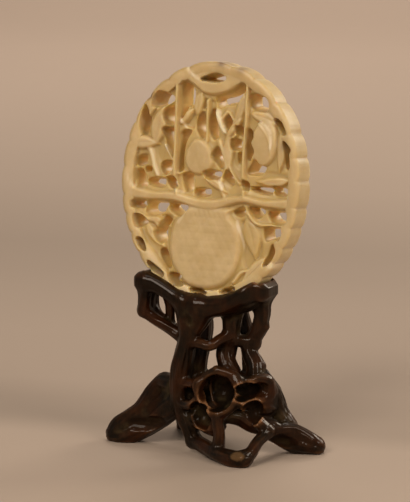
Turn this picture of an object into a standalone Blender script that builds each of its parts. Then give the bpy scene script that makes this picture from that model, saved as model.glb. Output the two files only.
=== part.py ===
"""Pierced oval jade plaque, carved as a flower basket, standing in its openwork root stand.

Two pieces: the plaque and the wooden stand whose saddle has a groove for the plaque's lower edge.
Units are metres. X runs along the plaque's width, the plaque faces -Y, Z is up.
"""
import math

import bmesh
import bpy
from mathutils import Matrix, Vector

MM = 0.001

# Plaque: outer sizes, and how it leans back in the stand
PLAQUE_WIDTH = 49.4 * MM
PLAQUE_HEIGHT = 61.0 * MM
PLAQUE_THICKNESS = 8.0 * MM
PLAQUE_LEAN = math.radians(5.3)

# Plaque: rim and levels of the carving, all below the rim's front face
RIM_WIDTH = 3.2 * MM
LOBE_DEPTH = 0.45 * MM
LOBE_POWER = 3.2
EDGE_ROUND = 0.5 * MM
GROUND_DROP = 1.0 * MM
BACK_INSET = 0.35 * MM
BACK_STEP = 0.035 * MM

# Leaves: where along them they are fullest (below 1 is nearer the foot). Fruit: how pointed the top is
LEAF_FULLNESS = 0.8
FRUIT_POINT = 0.16

# The carving is drawn on a grid of this many units across and up, which the sizes above stretch
GRID_WIDE = 50.0
GRID_TALL = 61.0
GRID_RISE = 0.5

# Stand: floor to the saddle's lowest point, spread of the feet, and the saddle
SADDLE_RISE = 40.0 * MM
STAND_LENGTH = 58.0 * MM
STAND_DEPTH = 38.0 * MM
SADDLE_LENGTH = 36.0 * MM
SADDLE_HEIGHT = 4.4 * MM
SADDLE_ROUND = 1.6 * MM
SADDLE_FORWARD = 2.8 * MM
LIP_WIDTH = 3.0 * MM
SEAT_DEPTH = 2.1 * MM
FIT_GAP = 0.3 * MM

# The stand's branches are drawn on a grid of this many units from the floor to the saddle
GRID_SADDLE = 40.0

# The saddle seen from the front: share of its half length, rise of its top over its lowest point
# in grid units, and its thickness there as a share of SADDLE_HEIGHT
SADDLE_PROFILE = [(-1.05, 4.4, 0.5), (-0.96, 5.4, 0.85), (-0.77, 5.0, 1.0), (-0.58, 3.5, 1.0),
                  (-0.33, 1.1, 1.0), (-0.12, 0.2, 1.05), (0.07, 0.0, 1.05), (0.27, 0.6, 1.0), (0.47, 2.2, 1.0),
                  (0.65, 4.1, 1.1), (0.77, 5.1, 1.15), (0.87, 4.7, 1.1), (0.95, 3.2, 0.5)]

# Fineness of the meshes
STAND_VOXEL = 0.55 * MM
STAND_FACES = 4000
EASE_ROUNDS = 4
LOOP_STEPS = 2
LOBE_STEPS = 3
LEAF_STEPS = 4
FRUIT_STEPS = 12
OVAL_STEPS = 32
FLAT_ANGLE = 1.0
SHARP_ANGLE = 35.0

# Notches between the rim's lobes, in degrees from the top, to the right and to the left
NOTCHES_RIGHT = (12, 28, 46, 64, 76, 87, 100, 110, 121, 130, 140, 152, 166)
NOTCHES_LEFT = (16, 31, 46, 61, 71, 84, 98, 108, 118, 129, 140, 153, 167)

# Openings cut through the plaque, each a smooth loop through a few grid points
OPENINGS = {
    "bail_eye": [(-3.3, 25.5), (-1.2, 26.4), (1, 26.8), (3.3, 25.8), (1, 25.0), (-1.5, 25.1)],
    "top_left_wedge": [(-15.3, 21.8), (-11.2, 20.4), (-13.7, 18.4), (-16.7, 18.2)],
    "rim_slot": [(-18.8, 18.2), (-17.9, 15), (-18.5, 11.2), (-19.8, 11.2), (-20, 14.5)],
    "beside_bar_high": [(-12.9, 18.4), (-11, 18.8), (-11, 13.6), (-12.6, 13.7), (-13.8, 15.8)],
    "beside_bar_mid": [(-13.8, 12.6), (-11, 12.3), (-11, 5.2), (-12.5, 8), (-13.5, 10.6)],
    "beside_bar_low": [(-14.2, 4), (-11.3, 4.4), (-11, 2.8), (-12.8, 0.9), (-14.2, 2)],
    "under_bail_left": [(-9, 24.2), (-5.9, 23), (-5.7, 18.9), (-7.3, 18.4), (-8, 16.4), (-9.2, 15.9)],
    "column_left": [(-8.9, 12), (-6.3, 12.2), (-7.6, 9.4), (-8.2, 6), (-8.1, 2.6), (-9.1, 2.4), (-9.1, 9)],
    "stem_gap_left": [(-4.8, 15.3), (-3, 17.2), (-2.4, 15.5), (-2.3, 11.4), (-3.2, 10.6), (-4.9, 13.3)],
    "stem_gap_right": [(-0.8, 17.8), (0.4, 17), (1.4, 11.5), (0.2, 10.4), (-0.9, 12.8)],
    "under_bail_right": [(0.4, 20.8), (4.5, 22.2), (8, 24.6), (8.5, 23.2), (6, 19.6), (3.4, 19.2),
                         (1.4, 18.2)],
    "ringed_hole": [(4.2, 16.4), (5.2, 14.8), (4.2, 13.1), (3.2, 14.8)],
    "bar_nick_high": [(6.6, 13.9), (8.5, 13.2), (8.4, 11.6), (6.9, 12)],
    "bar_nick_mid": [(5.3, 10.6), (7.8, 10.3), (7.8, 8.1), (5.6, 8.2)],
    "bar_nick_low": [(7, 7.4), (8.3, 7), (8.3, 4.6), (7.2, 5)],
    "top_right_box": [(10.4, 22.2), (14.1, 21.4), (15.3, 20), (14.8, 18.2), (12.9, 18.1), (10.5, 18.9)],
    "fruit_edge_left": [(9.9, 13.4), (11.4, 11.6), (10.8, 10), (11.7, 7.6), (10.2, 5.6), (9.9, 9)],
    "rim_wedge_right": [(17.4, 16), (19.1, 15.4), (20.5, 12.6), (19, 13.2)],
    "rim_chain_right": [(19.9, 10.6), (21.8, 8.8), (21.5, 7.6), (21.7, 4.2), (20.7, 4.2), (20.5, 7.5)],
    "under_fruit_right": [(10.3, 3.5), (12.1, 5.7), (13.7, 4.4), (15, 4), (14.1, 2.4), (12.5, 1.9),
                          (10.2, 2.1)],
    "fruit_edge_centre": [(0.5, 8), (2, 8.2), (3.4, 4.2), (2.6, 3.2), (0.3, 5.8)],
    "centre_slot": [(-2, 2), (0, 2.6), (2.4, 2.2), (2.4, 0.9), (0.5, 0.4), (-1.8, 0.8)],
    "centre_drop": [(4.4, 2.7), (6.3, 0.5), (5.8, -0.9), (3.5, 0.9)],
    "above_arm_far": [(-17.5, -0.3), (-13.4, -0.2), (-13.7, -2.4), (-17.8, -2)],
    "above_arm_mid": [(-12.5, 0), (-11, 0.4), (-10, 0), (-9.5, -2.1), (-11.4, -2.3)],
    "above_arm_near": [(-8, 1), (-5.4, 1.6), (-4.9, -1.5), (-5.6, -3), (-7.3, -2.9)],
    "above_neck": [(-4.4, -2.3), (-0.5, -2.2), (-0.4, -3.8), (-3.9, -4.2)],
    "rim_box_upper": [(-21, 5), (-18.8, 5.6), (-18.8, 3.4), (-21.1, 2.8)],
    "rim_dot": [(-18.9, 2.6), (-17.5, 2.5), (-17.5, 1.4), (-18.8, 1.4)],
    "rim_box_lower": [(-21.4, 1.5), (-19.7, 1.8), (-18.5, -2.2), (-21, -2.4)],
    "under_arm_rim": [(-21.7, -6.3), (-18.7, -6.2), (-18.9, -7.9), (-21.7, -7.7)],
    "under_arm_far": [(-17.5, -6.2), (-12.3, -6.1), (-12.5, -7.8), (-13.5, -9), (-16.4, -9.8),
                      (-18.2, -8.8)],
    "under_arm_near": [(-11.3, -6.3), (-6.4, -6.8), (-6.8, -8.2), (-8.7, -9.5), (-11.3, -8)],
    "zigzag_left": [(-12.7, -9.6), (-10.8, -10.6), (-12.1, -12.6), (-12.2, -16), (-14.2, -16.4),
                    (-15.5, -14), (-13.8, -12)],
    "rim_leaf_left": [(-21, -9.8), (-19.1, -10), (-17.6, -11.6), (-19.7, -12.8), (-20.8, -12)],
    "rim_sliver_left": [(-20, -15.9), (-18.6, -16), (-17.5, -18.6), (-19, -17.8)],
    "basket_slit_left": [(-13.5, -18.3), (-11.9, -18.4), (-10.5, -22.2), (-11.3, -22.7), (-13.3, -20)],
    "low_sliver_left": [(-16.3, -21.5), (-12.5, -24), (-12.5, -24.9), (-15.7, -23)],
    "base_gap_left": [(-10.2, -24), (-7.2, -24.6), (-8.4, -25.8), (-6.6, -26.8), (-8.8, -27), (-10.4, -25)],
    "base_slit": [(-4, -27.5), (0, -28.3), (-1, -28.8), (-3.6, -28.4)],
    "base_gap_right": [(4.2, -27.6), (6.4, -26.7), (8, -26.7), (7.6, -27.6), (5, -28.2)],
    "neck_right": [(6.6, -7.7), (8.2, -6.4), (9.7, -6.4), (10, -7.6), (8.5, -8.7)],
    "under_arm_right": [(10.9, -6.3), (13.4, -6.2), (15.2, -6.9), (14.6, -7.9), (13.1, -8.8)],
    "rim_box_right": [(16.3, -7), (21, -6.8), (21, -9.6), (17.7, -9.7)],
    "leaf_gap_right": [(15.5, -11.1), (19.8, -11.1), (19.7, -13.7), (17.9, -13.8), (15.8, -14.3)],
    "leaf_slit_right": [(17.7, -15.2), (18.8, -16.8), (17.5, -19.4), (15.9, -20.4), (16.8, -17.6)],
    "above_arm_right": [(17.6, -0.6), (21.3, -1.4), (20, -2.9), (17.7, -2.4)],
    "above_arm_right_mid": [(11.4, -1), (16.6, -1.1), (16.5, -2.6), (14.2, -2.6), (11.3, -1.9)],
    "above_arm_right_near": [(8.7, 0.6), (10.4, -0.4), (10.2, -1.9), (8.7, -1)],
}

# Basket: half widths of its body at heights on the grid, from the neck to the foot
BASKET_SIDE = [(6.4, -6.5), (6.8, -8.4), (9.2, -11), (10.2, -16), (9.6, -20.5), (7.8, -24), (4.8, -26.8)]
BASKET_CENTRE = -0.8
BASKET_SAG = 0.9
BASKET_DROP = 0.1
LIP_DROP = 0.3
BAIL_DROP = 0.25

# The basket's lip, which flares out to the rim on both sides: grid points and half width
BASKET_LIP = [(-22.9, -3.9, 1.9), (-16.4, -4.6, 1.3), (-10, -4.5, 1.3), (-4, -5.8, 1.4), (1, -6.1, 1.5),
              (6, -4.8, 1.2), (10, -4.2, 1.1), (15.3, -5, 1.1), (22.4, -4.8, 1.6)]

# The crescent below the bail's eye
BAIL = [(-9, 26.6), (-5.6, 23.8), (-3, 22), (0, 21.4), (3, 22), (5.5, 23.2), (9, 26.2), (0, 29)]

# Handle bars and stems: grid points, half width, and how far their ridge lies below the rim's face
STEMS = {
    "bar_left": ([(-10.2, 25.6), (-10.1, 12), (-10.1, 2), (-9.2, -4)], 0.5, 0.2),
    "bar_right": ([(9.5, 25), (9.4, 14), (9.1, 4), (9.6, -4)], 0.48, 0.2),
    "stem_centre": ([(-1.6, 20), (-1.5, 14), (-1.6, 9)], 0.55, 1.0),
    "tendril_left": ([(-19, 10), (-17, 6), (-16, 2.6), (-14.8, 0.3)], 0.8, 0.7),
    "spray_left": ([(-13.1, 8.6), (-11.9, 6.4), (-10.6, 4.8)], 0.4, 0.7),
    "stem_under_arm": ([(9.8, -6.4), (12.3, -9.4), (14.6, -10.4), (20.8, -10.4)], 0.55, 0.7),
    "stem_low_left": ([(-21.9, -12.5), (-17, -18), (-12.6, -23), (-9, -27)], 0.8, 0.5),
    "stem_mid_left": ([(-21.9, -8.8), (-17.5, -10.6), (-14.8, -11.6), (-12.5, -17.4)], 0.7, 0.8),
    "stem_centre_low": ([(2, 10), (4.2, 3.6), (2.6, -0.8), (4, -4)], 0.7, 0.9),
}

# Leaves: foot, tip, greatest width, side bend, and how far their face lies below the rim's face
LEAVES = {
    "leaf_far_left": ((-16.2, 8.4), (-13, 19.6), 3.4, 0.6, 0.65),
    "leaf_ledge_left": ((-22.9, 8.2), (-14.6, 8.6), 3.6, 0.5, 0.45),
    "leaf_by_bar": ((-9.4, 13.6), (-5.2, 18.2), 2.4, 0.2, 0.7),
    "leaf_under_bail": ((-3.4, 22.5), (-4.4, 15.6), 3.2, -0.5, 1.2),
    "leaf_spear": ((0.6, 18), (3.2, 11.4), 1.8, 0.3, 0.5),
    "leaf_right_bar": ((8.6, 22.8), (5.6, 12.4), 2.8, 0.4, 0.85),
    "leaf_centre_right": ((4.6, 12.2), (5.4, 2.4), 3.0, -0.4, 1.05),
    "leaf_rim_right": ((13.8, 24), (19.7, 13.4), 3.2, -0.6, 0.75),
    "leaf_behind_fruit": ((19.3, 14), (18.6, 2.4), 3.0, 0.5, 0.95),
    "leaf_level_right": ((22.4, 1.2), (12.1, 0.4), 2.8, 0.4, 0.82),
    "leaf_arm_left": ((-14.4, 0.2), (-6.2, 2), 1.8, 0.2, 0.88),
    "leaf_low_left": ((-18.1, -11.2), (-12.9, -17.8), 2.6, -0.3, 1.1),
    "leaf_low_right": ((10.2, -9), (13.3, -19.5), 4.6, 0.6, 1.3),
    "leaf_foot_right": ((18.4, -18), (9, -26.4), 3.8, -0.5, 0.92),
}

# Fruit: centre, half sizes, turn in degrees, and how far their face lies below the rim's face
FRUIT = {
    "peach_centre": ((-3.4, 5.9), (4.1, 4.7), -8, 0.3),
    "peach_right": ((14.4, 10.2), (3.9, 6.3), 12, 0.2),
}

# Stand's branches: grid points with their radius (x, y, z, radius)
BRANCHES = {
    "frame_outer": [(-16.8, -7.6, 43.2, 1.9), (-17.2, -7, 39, 1.6), (-17.6, -6.6, 35.4, 1.6)],
    "frame_wall": [(-16.8, -4.4, 42.6, 1.9), (-17.2, -4.2, 38.6, 1.5), (-17.5, -4, 35, 1.5)],
    "frame_inner": [(-16.6, -1.6, 42, 1.6), (-17, -1.6, 38, 1.2), (-16.8, -2, 34.4, 1.4)],
    "frame_lower": [(-17.6, -6.4, 35.2, 1.6), (-14.5, -5.6, 33, 1.5), (-10.5, -5.4, 31, 1.5),
                    (-6, -5.5, 28.6, 1.9)],
    "frame_floor": [(-16.8, -2.6, 34.6, 1.5), (-13.4, -2.6, 32.2, 1.3), (-9.5, -3, 29.8, 1.4)],
    "frame_brace": [(-12.6, -3, 39.5, 1.4), (-12, -2.6, 36, 1.2), (-11.8, -3, 31.5, 1.3)],
    "flare_front": [(-1.5, -6.6, 38, 3), (-1, -6.9, 35, 2.6), (-2.2, -7.3, 32, 1.9),
                    (-3.6, -7.5, 29.5, 1.5)],
    "flare_right": [(3, -6, 38.4, 2.4), (7, -5.4, 38.6, 2.6), (10.5, -4.4, 39.6, 2.8)],
    "trunk_front": [(-5.5, -6.5, 38, 2.6), (-5, -7.5, 34.5, 2.3), (-4.5, -7.5, 30, 2.2),
                    (-5.5, -7, 25.5, 2.6),
                    (-6.5, -7, 21.5, 2.8), (-7, -7, 17, 2.6), (-7, -7, 13.5, 2.3), (-6, -7.5, 10, 2.1),
                    (-4, -8, 6.5, 2.1), (-2.5, -8, 3, 2)],
    "trunk_back": [(-5.5, 0, 37, 3), (-4, 0, 32, 2.8), (-4, -1, 27.5, 2.8), (-4.5, -2, 23, 2.8),
                   (-5, -3, 17, 3)],
    "trunk_middle": [(6.5, -3, 38, 3), (6, -3, 33.5, 2.4), (5.5, -3, 30, 2.2), (4.5, -3, 26.5, 2.6),
                     (5, -4, 23.5, 2.4), (8, -5, 19, 2.2)],
    "trunk_right": [(12.5, -1, 39.5, 3), (13.5, -1, 36, 2.2), (12.5, -1, 32, 2), (11, -1, 29, 2.1),
                    (10.5, -2, 26, 2), (12.5, -3, 23, 2.2), (13, -4, 19, 2.4)],
    "trunk_behind": [(4, 3, 38, 2.6), (6, 3.5, 32, 2.2), (8, 3, 26, 2.2), (10, 1, 19, 2.6)],
    "shelf": [(-5, -7, 28.5, 1.4), (-1, -8, 28.5, 1.3), (2, -8, 28, 1.3), (3.5, -6, 29, 1.5),
              (5.5, -4, 30, 1.8)],
    "cross_right": [(6, -3, 29, 1.6), (9.5, -2, 28.5, 1.6), (11.5, -1, 28, 1.6)],
    "knob_high": [(12.5, -1, 31, 1.5), (14.6, -1, 32.6, 0.9)],
    "knob_low": [(11.5, -2, 24, 1.8), (13.8, -2, 22.6, 1.3)],
    "ring": [(5.5, -11, 22.5, 1.3), (2.5, -11, 20.5, 1.3), (0.5, -12, 18.5, 1.3), (2, -12.5, 15.5, 1.3),
             (4, -13, 13, 1.3), (6.5, -13, 12, 1.4), (9, -12.5, 13, 1.4), (11, -12, 15, 1.4),
             (12, -12, 18, 1.4), (11, -11, 21, 1.3), (8.5, -11, 22, 1.2), (5.5, -11, 22.5, 1.3)],
    "ring_cup": [(5, -6.6, 19, 3.6), (6, -7, 15.5, 3.8)],
    "ring_arm": [(1, -11.5, 19, 1.3), (-3, -9, 18, 1.3), (-7, -7.5, 18, 1.6)],
    "cup_rim": [(10.5, -11, 20.5, 1.3), (13.5, -9, 20, 1.2), (15, -7, 20.5, 1.2), (16.5, -4, 19.5, 1.5),
                (16.5, -3, 16.5, 1.8)],
    "cup_under": [(11.5, -11, 16.5, 1.5), (13.5, -8, 14.5, 1.8), (15, -4, 14.5, 2.6), (15.5, -2, 16, 2.8)],
    "leg_right": [(12.5, -1, 19, 3.2), (15, 0, 15, 3.4), (16.5, 1, 10.5, 3.2), (19, 1.5, 6.5, 3.2)],
    "foot_right": [(16.5, -1, 5.5, 2.4), (20.5, 1, 4.2, 3.4), (23.5, 2.5, 3, 3.4), (26.6, 3.4, 1.9, 2.6)],
    "foot_right_rim": [(17, -6, 7, 1.3), (19.5, -3, 7, 1.4), (22.5, 0, 6.5, 1.4), (26, 2, 4, 1.4)],
    "front_bar": [(-2.5, -8, 3, 2), (2.5, -11, 2.4, 1.9), (8, -14.5, 1.9, 2), (13, -16.4, 1.6, 2.3),
                  (15.6, -16.4, 2, 2.2)],
    "front_bar_right": [(15.6, -16.6, 2, 2), (17, -15, 3.5, 1.6), (17.5, -12, 5.5, 1.5),
                        (18.5, -8, 7.5, 1.5)],
    "post": [(6.5, -13, 12, 1.4), (7, -13.5, 9.5, 1.4), (7.5, -13.6, 7, 1.5), (7, -13.4, 2.5, 1.7)],
    "arch_right": [(12, -11, 15.5, 1.8), (14.5, -10, 13, 1.6), (16.5, -9.5, 10, 1.6), (18.5, -8, 7.5, 1.6)],
    "arch_web": [(7, -11, 11.5, 2.2), (10.5, -8, 10.5, 2.4), (14, -7, 8.5, 2.2), (17.5, -4, 7.5, 2.2)],
    "leg_left": [(-7, -4, 16, 3), (-11.5, -2.6, 15.8, 2.8), (-14.6, -1.4, 15.6, 2.6),
                 (-17.4, -1.8, 12.4, 2.6),
                 (-20, -3, 8.6, 2.3), (-22.6, -3.8, 6.4, 2.5), (-25.6, -4.6, 4.2, 2.5),
                 (-27.2, -4.8, 2.2, 2.2)],
    "leg_left_low": [(-8, -5, 12, 3), (-12, -4, 9, 3), (-16, -3.6, 6, 2.8), (-20.5, -4, 3.2, 2.8),
                     (-24.5, -4.8, 1.4, 2.9), (-27, -5, 1.2, 2.3)],
    "small_ring": [(-6.5, -7.6, 15.5, 1.4), (-5.5, -8.5, 13, 1.3), (-3.5, -9.5, 12.6, 1.3),
                   (-0.5, -11, 14, 1.3), (2, -12, 16, 1.3)],
    "leg_back": [(-7, 0, 16.5, 3.4), (-10.5, 5, 11.5, 3.2), (-13.5, 10.5, 5.6, 3), (-15.4, 14.6, 1.2, 3.2)],
    "leg_back_rib": [(8, 0, 17, 3), (2, 5, 12, 2.4), (-6, 10.5, 7, 2.2), (-13.8, 14.4, 2.4, 2.2)],
    "leg_left_web": [(-9, -3.5, 13.5, 2.8), (-14, -2.6, 11, 2.6), (-19, -3, 7.5, 2.4), (-24, -4.6, 4, 2)],
    "skirt_left": [(-5, -6, 10, 2.4), (0, -8, 8.5, 2.6), (5, -10.5, 8, 2.6)],
    "core_low": [(-5, -4, 13, 3.4), (2, -6, 12.5, 3.4), (9, -5.5, 13.5, 3.6), (15, -3, 12.5, 3.2)],
    "core": [(-6, -2.5, 16.5, 3.6), (-0.5, -2.5, 16.5, 3.6), (6.5, -3, 17, 3.6), (12, -1.5, 17.5, 3.2)],
}

JADE_COLOUR = (0.56, 0.42, 0.24, 1.0)
JADE_ROUGHNESS = 0.28
WOOD_COLOUR = (0.022, 0.013, 0.008, 1.0)
WOOD_ROUGHNESS = 0.32


def clear_scene():
    """Start from an empty file."""
    for item in list(bpy.data.objects):
        bpy.data.objects.remove(item, do_unlink=True)


def make_material(name, colour, roughness):
    """A plain Principled finish."""
    material = bpy.data.materials.new(name)
    material.use_nodes = True
    shader = material.node_tree.nodes["Principled BSDF"]
    shader.inputs["Base Color"].default_value = colour
    shader.inputs["Roughness"].default_value = roughness
    shader.inputs["Metallic"].default_value = 0.0
    return material


def smooth_loop(points, steps):
    """A closed Catmull-Rom loop through the points, with the given steps between two of them."""
    loop = []
    count = len(points)
    for i in range(count):
        before, start, end, after = (Vector(points[(i + k) % count]) for k in (-1, 0, 1, 2))
        for step in range(steps):
            t = step / steps
            loop.append(0.5 * (2 * start + (end - before) * t
                               + (2 * before - 5 * start + 4 * end - after) * t ** 2
                               + (3 * start - before - 3 * end + after) * t ** 3))
    return loop


def smooth_path(points, steps):
    """An open Catmull-Rom path through points of any size, ends included."""
    knots = [Vector(p) for p in points]
    knots = [2 * knots[0] - knots[1]] + knots + [2 * knots[-1] - knots[-2]]
    path = []
    for i in range(1, len(knots) - 2):
        before, start, end, after = knots[i - 1:i + 3]
        for step in range(steps):
            t = step / steps
            path.append(0.5 * (2 * start + (end - before) * t
                               + (2 * before - 5 * start + 4 * end - after) * t ** 2
                               + (3 * start - before - 3 * end + after) * t ** 3))
    path.append(knots[-2])
    return path


def on_plaque(point):
    """A grid point of the carving, in metres from the oval's centre."""
    return Vector((point[0] * PLAQUE_WIDTH / GRID_WIDE, (point[1] + GRID_RISE) * PLAQUE_HEIGHT / GRID_TALL))


def oval(half_width, half_height, count):
    """A plain oval outline."""
    turns = (2 * math.pi * i / count for i in range(count))
    return [Vector((half_width * math.sin(t), half_height * math.cos(t))) for t in turns]


def lobed_oval(steps):
    """The rim's outline: an oval whose edge swells between the notches."""
    angles = [0.0 - a for a in reversed(NOTCHES_LEFT)] + list(NOTCHES_RIGHT)
    outline = []
    for i, start in enumerate(angles):
        end = angles[(i + 1) % len(angles)]
        if end < start:
            end += 360
        for step in range(steps):
            share = step / steps
            turn = math.radians(start + share * (end - start))
            inset = LOBE_DEPTH * abs(2 * share - 1) ** LOBE_POWER
            outline.append(Vector(((PLAQUE_WIDTH / 2 - inset) * math.sin(turn),
                                   (PLAQUE_HEIGHT / 2 - inset) * math.cos(turn))))
    return outline


def ribbon(path, steps):
    """Outline of a band whose half width changes along its middle line (x, y, half width)."""
    line = smooth_path(path, steps)
    left, right = [], []
    for i, point in enumerate(line):
        along = (line[min(i + 1, len(line) - 1)] - line[max(i - 1, 0)]).xy.normalized()
        side = Vector((-along.y, along.x)) * point.z
        left.append(point.xy + side)
        right.append(point.xy - side)
    return left + right[::-1]


def leaf_outline(foot, tip, width, bend, steps):
    """A pointed leaf from its foot to its tip, bent to one side."""
    foot, tip = Vector(foot), Vector(tip)
    along = tip - foot
    across = Vector((-along.y, along.x)).normalized()
    sides = []
    for sign in (1, -1):
        side = []
        for i in range(1, steps):
            share = i / steps
            half = sign * width / 2 * math.sin(math.pi * share ** LEAF_FULLNESS)
            side.append(foot + along * share + across * (half + bend * math.sin(math.pi * share)))
        sides.append(side)
    return [foot] + sides[0] + [tip] + sides[1][::-1]


def fruit_outline(centre, half, turn, count):
    """A rounded fruit, slightly pointed at its top."""
    turn = math.radians(turn)
    outline = []
    for i in range(count):
        angle = 2 * math.pi * i / count
        x = half[0] * math.sin(angle) * (1 - FRUIT_POINT * math.cos(angle))
        y = half[1] * math.cos(angle)
        outline.append(Vector((centre[0] + x * math.cos(turn) + y * math.sin(turn),
                               centre[1] - x * math.sin(turn) + y * math.cos(turn))))
    return outline


def basket_outline():
    """The basket's body, mirrored about its middle line."""
    right = [(BASKET_CENTRE + half, height) for half, height in BASKET_SIDE]
    left = [(BASKET_CENTRE - half, height) for half, height in reversed(BASKET_SIDE)]
    bottom = [(BASKET_CENTRE, BASKET_SIDE[-1][1] - BASKET_SAG)]
    return smooth_loop(right + bottom + left, LOOP_STEPS)


def mesh_of_curve(name, curve):
    """Turn a curve into a closed mesh object with its caps welded."""
    holder = bpy.data.objects.new(name, curve)
    bpy.context.scene.collection.objects.link(holder)
    depsgraph = bpy.context.evaluated_depsgraph_get()
    mesh = bpy.data.meshes.new_from_object(holder.evaluated_get(depsgraph))
    work = bmesh.new()
    work.from_mesh(mesh)
    bmesh.ops.remove_doubles(work, verts=work.verts, dist=0.01 * MM)
    bmesh.ops.recalc_face_normals(work, faces=work.faces)
    work.to_mesh(mesh)
    work.free()
    bpy.data.objects.remove(holder, do_unlink=True)
    mesh.name = name
    return mesh


def slab(name, outlines, front, back, bevel):
    """A flat cut shape in the plaque's plane: outlines in metres, front and back along its depth."""
    curve = bpy.data.curves.new(name, "CURVE")
    curve.dimensions = "2D"
    curve.fill_mode = "BOTH"
    curve.extrude = (back - front) / 2 - bevel
    curve.bevel_depth = bevel
    curve.bevel_resolution = 0
    curve.offset = -bevel
    for outline in outlines:
        spline = curve.splines.new("POLY")
        spline.points.add(len(outline) - 1)
        for point, place in zip(spline.points, outline):
            point.co = (place.x, place.y, 0.0, 1.0)
        spline.use_cyclic_u = True
    mesh = mesh_of_curve(name, curve)
    upright = Matrix.Translation((0, (front + back) / 2, 0)) @ Matrix.Rotation(math.pi / 2, 4, "X")
    mesh.transform(upright)
    return mesh


def tube(name, path, unit, steps):
    """A branch through grid points, its radius changing from point to point."""
    curve = bpy.data.curves.new(name, "CURVE")
    curve.dimensions = "3D"
    curve.bevel_depth = unit
    curve.bevel_resolution = 2
    curve.use_fill_caps = True
    line = smooth_path(path, steps)
    spline = curve.splines.new("POLY")
    spline.points.add(len(line) - 1)
    for point, place in zip(spline.points, line):
        point.co = (place[0] * unit, place[1] * unit, place[2] * unit, 1.0)
        point.radius = place[3]
    return mesh_of_curve(name, curve)


def join(name, meshes):
    """One mesh object holding all the given meshes."""
    work = bmesh.new()
    for mesh in meshes:
        work.from_mesh(mesh)
    joined = bpy.data.meshes.new(name)
    work.to_mesh(joined)
    work.free()
    for mesh in meshes:
        bpy.data.meshes.remove(mesh)
    return bpy.data.objects.new(name, joined)


def apply_modifiers(item):
    """Bake an object's modifiers into its mesh."""
    depsgraph = bpy.context.evaluated_depsgraph_get()
    baked = bpy.data.meshes.new_from_object(item.evaluated_get(depsgraph))
    item.modifiers.clear()
    old = item.data
    item.data = baked
    bpy.data.meshes.remove(old)


def add_boolean(item, operation, operand):
    """Cut or join with one object or with a whole collection."""
    step = item.modifiers.new(operation.title(), "BOOLEAN")
    step.operation = operation
    step.solver = "EXACT"
    if isinstance(operand, bpy.types.Collection):
        step.operand_type = "COLLECTION"
        step.collection = operand
    else:
        step.object = operand


def as_guide(item, collection):
    """Keep a cutter out of sight."""
    item.hide_render = True
    item.display_type = "WIRE"
    collection.objects.link(item)


def plaque_frame():
    """Where the plaque's oval centre stands, leaning back with its foot in the saddle's groove."""
    foot = Vector((0, 0, SADDLE_RISE - SEAT_DEPTH))
    lean = Matrix.Rotation(-PLAQUE_LEAN, 4, "X")
    middle = Vector((0, -PLAQUE_THICKNESS / 2, 0))
    sink = (PLAQUE_THICKNESS / 2) * math.sin(PLAQUE_LEAN)
    rise = Matrix.Translation((0, 0, PLAQUE_HEIGHT / 2))
    stand_at = Matrix.Translation(foot + Vector((0, -SADDLE_FORWARD, sink)))
    return stand_at @ lean @ rise @ Matrix.Translation(middle)


def build_plaque(parts, cutters):
    """The jade plaque: ground, rim, basket, leaves and stems joined, then pierced."""
    half_width = PLAQUE_WIDTH / 2
    half_height = PLAQUE_HEIGHT / 2
    back = PLAQUE_THICKNESS
    unit = PLAQUE_HEIGHT / GRID_TALL
    inner = oval(half_width - RIM_WIDTH, half_height - RIM_WIDTH, OVAL_STEPS)
    ground = oval(half_width - RIM_WIDTH / 2, half_height - RIM_WIDTH / 2, OVAL_STEPS)
    raised = bpy.data.collections.new("plaque_carving")
    cutters.children.link(raised)

    def add(name, outline, drop, bevel):
        foot = back - BACK_INSET - (len(raised.objects) + 1) * BACK_STEP
        mesh = slab(name, [[on_plaque(p) for p in outline]], drop * unit, foot, bevel)
        raised.objects.link(bpy.data.objects.new(name, mesh))

    add("basket", basket_outline(), BASKET_DROP, EDGE_ROUND)
    add("basket_lip", ribbon(BASKET_LIP, LOOP_STEPS), LIP_DROP, EDGE_ROUND)
    add("bail", smooth_loop(BAIL, LOOP_STEPS), BAIL_DROP, EDGE_ROUND)
    for name, (path, half, drop) in STEMS.items():
        add(name, ribbon([(x, y, half) for x, y in path], LOOP_STEPS), drop, 0.0)
    for name, (foot, tip, width, bend, drop) in LEAVES.items():
        add(name, leaf_outline(foot, tip, width, bend, LEAF_STEPS), drop, 0.0)
    for name, (centre, half, turn, drop) in FRUIT.items():
        add(name, fruit_outline(centre, half, turn, FRUIT_STEPS), drop, EDGE_ROUND)
    ground_mesh = slab("ground", [ground], GROUND_DROP, back - BACK_INSET, 0.0)
    raised.objects.link(bpy.data.objects.new("ground", ground_mesh))

    rim = slab("jade_plaque", [lobed_oval(LOBE_STEPS), inner], 0.0, back, EDGE_ROUND)
    plaque = bpy.data.objects.new("jade_plaque", rim)
    parts.objects.link(plaque)
    holes = [slab(name, [[on_plaque(p) for p in smooth_loop(loop, LOOP_STEPS)]], -back, 2 * back, 0.0)
             for name, loop in OPENINGS.items()]
    piercing = join("piercing", holes)
    as_guide(piercing, cutters)
    add_boolean(plaque, "UNION", raised)
    apply_modifiers(plaque)
    add_boolean(plaque, "DIFFERENCE", piercing)
    merge = plaque.modifiers.new("Merge", "DECIMATE")
    merge.decimate_type = "DISSOLVE"
    merge.angle_limit = math.radians(FLAT_ANGLE)
    apply_modifiers(plaque)
    for item in raised.objects:
        item.hide_render = True
        item.display_type = "WIRE"
    plaque.data.transform(plaque_frame())
    return plaque


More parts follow.
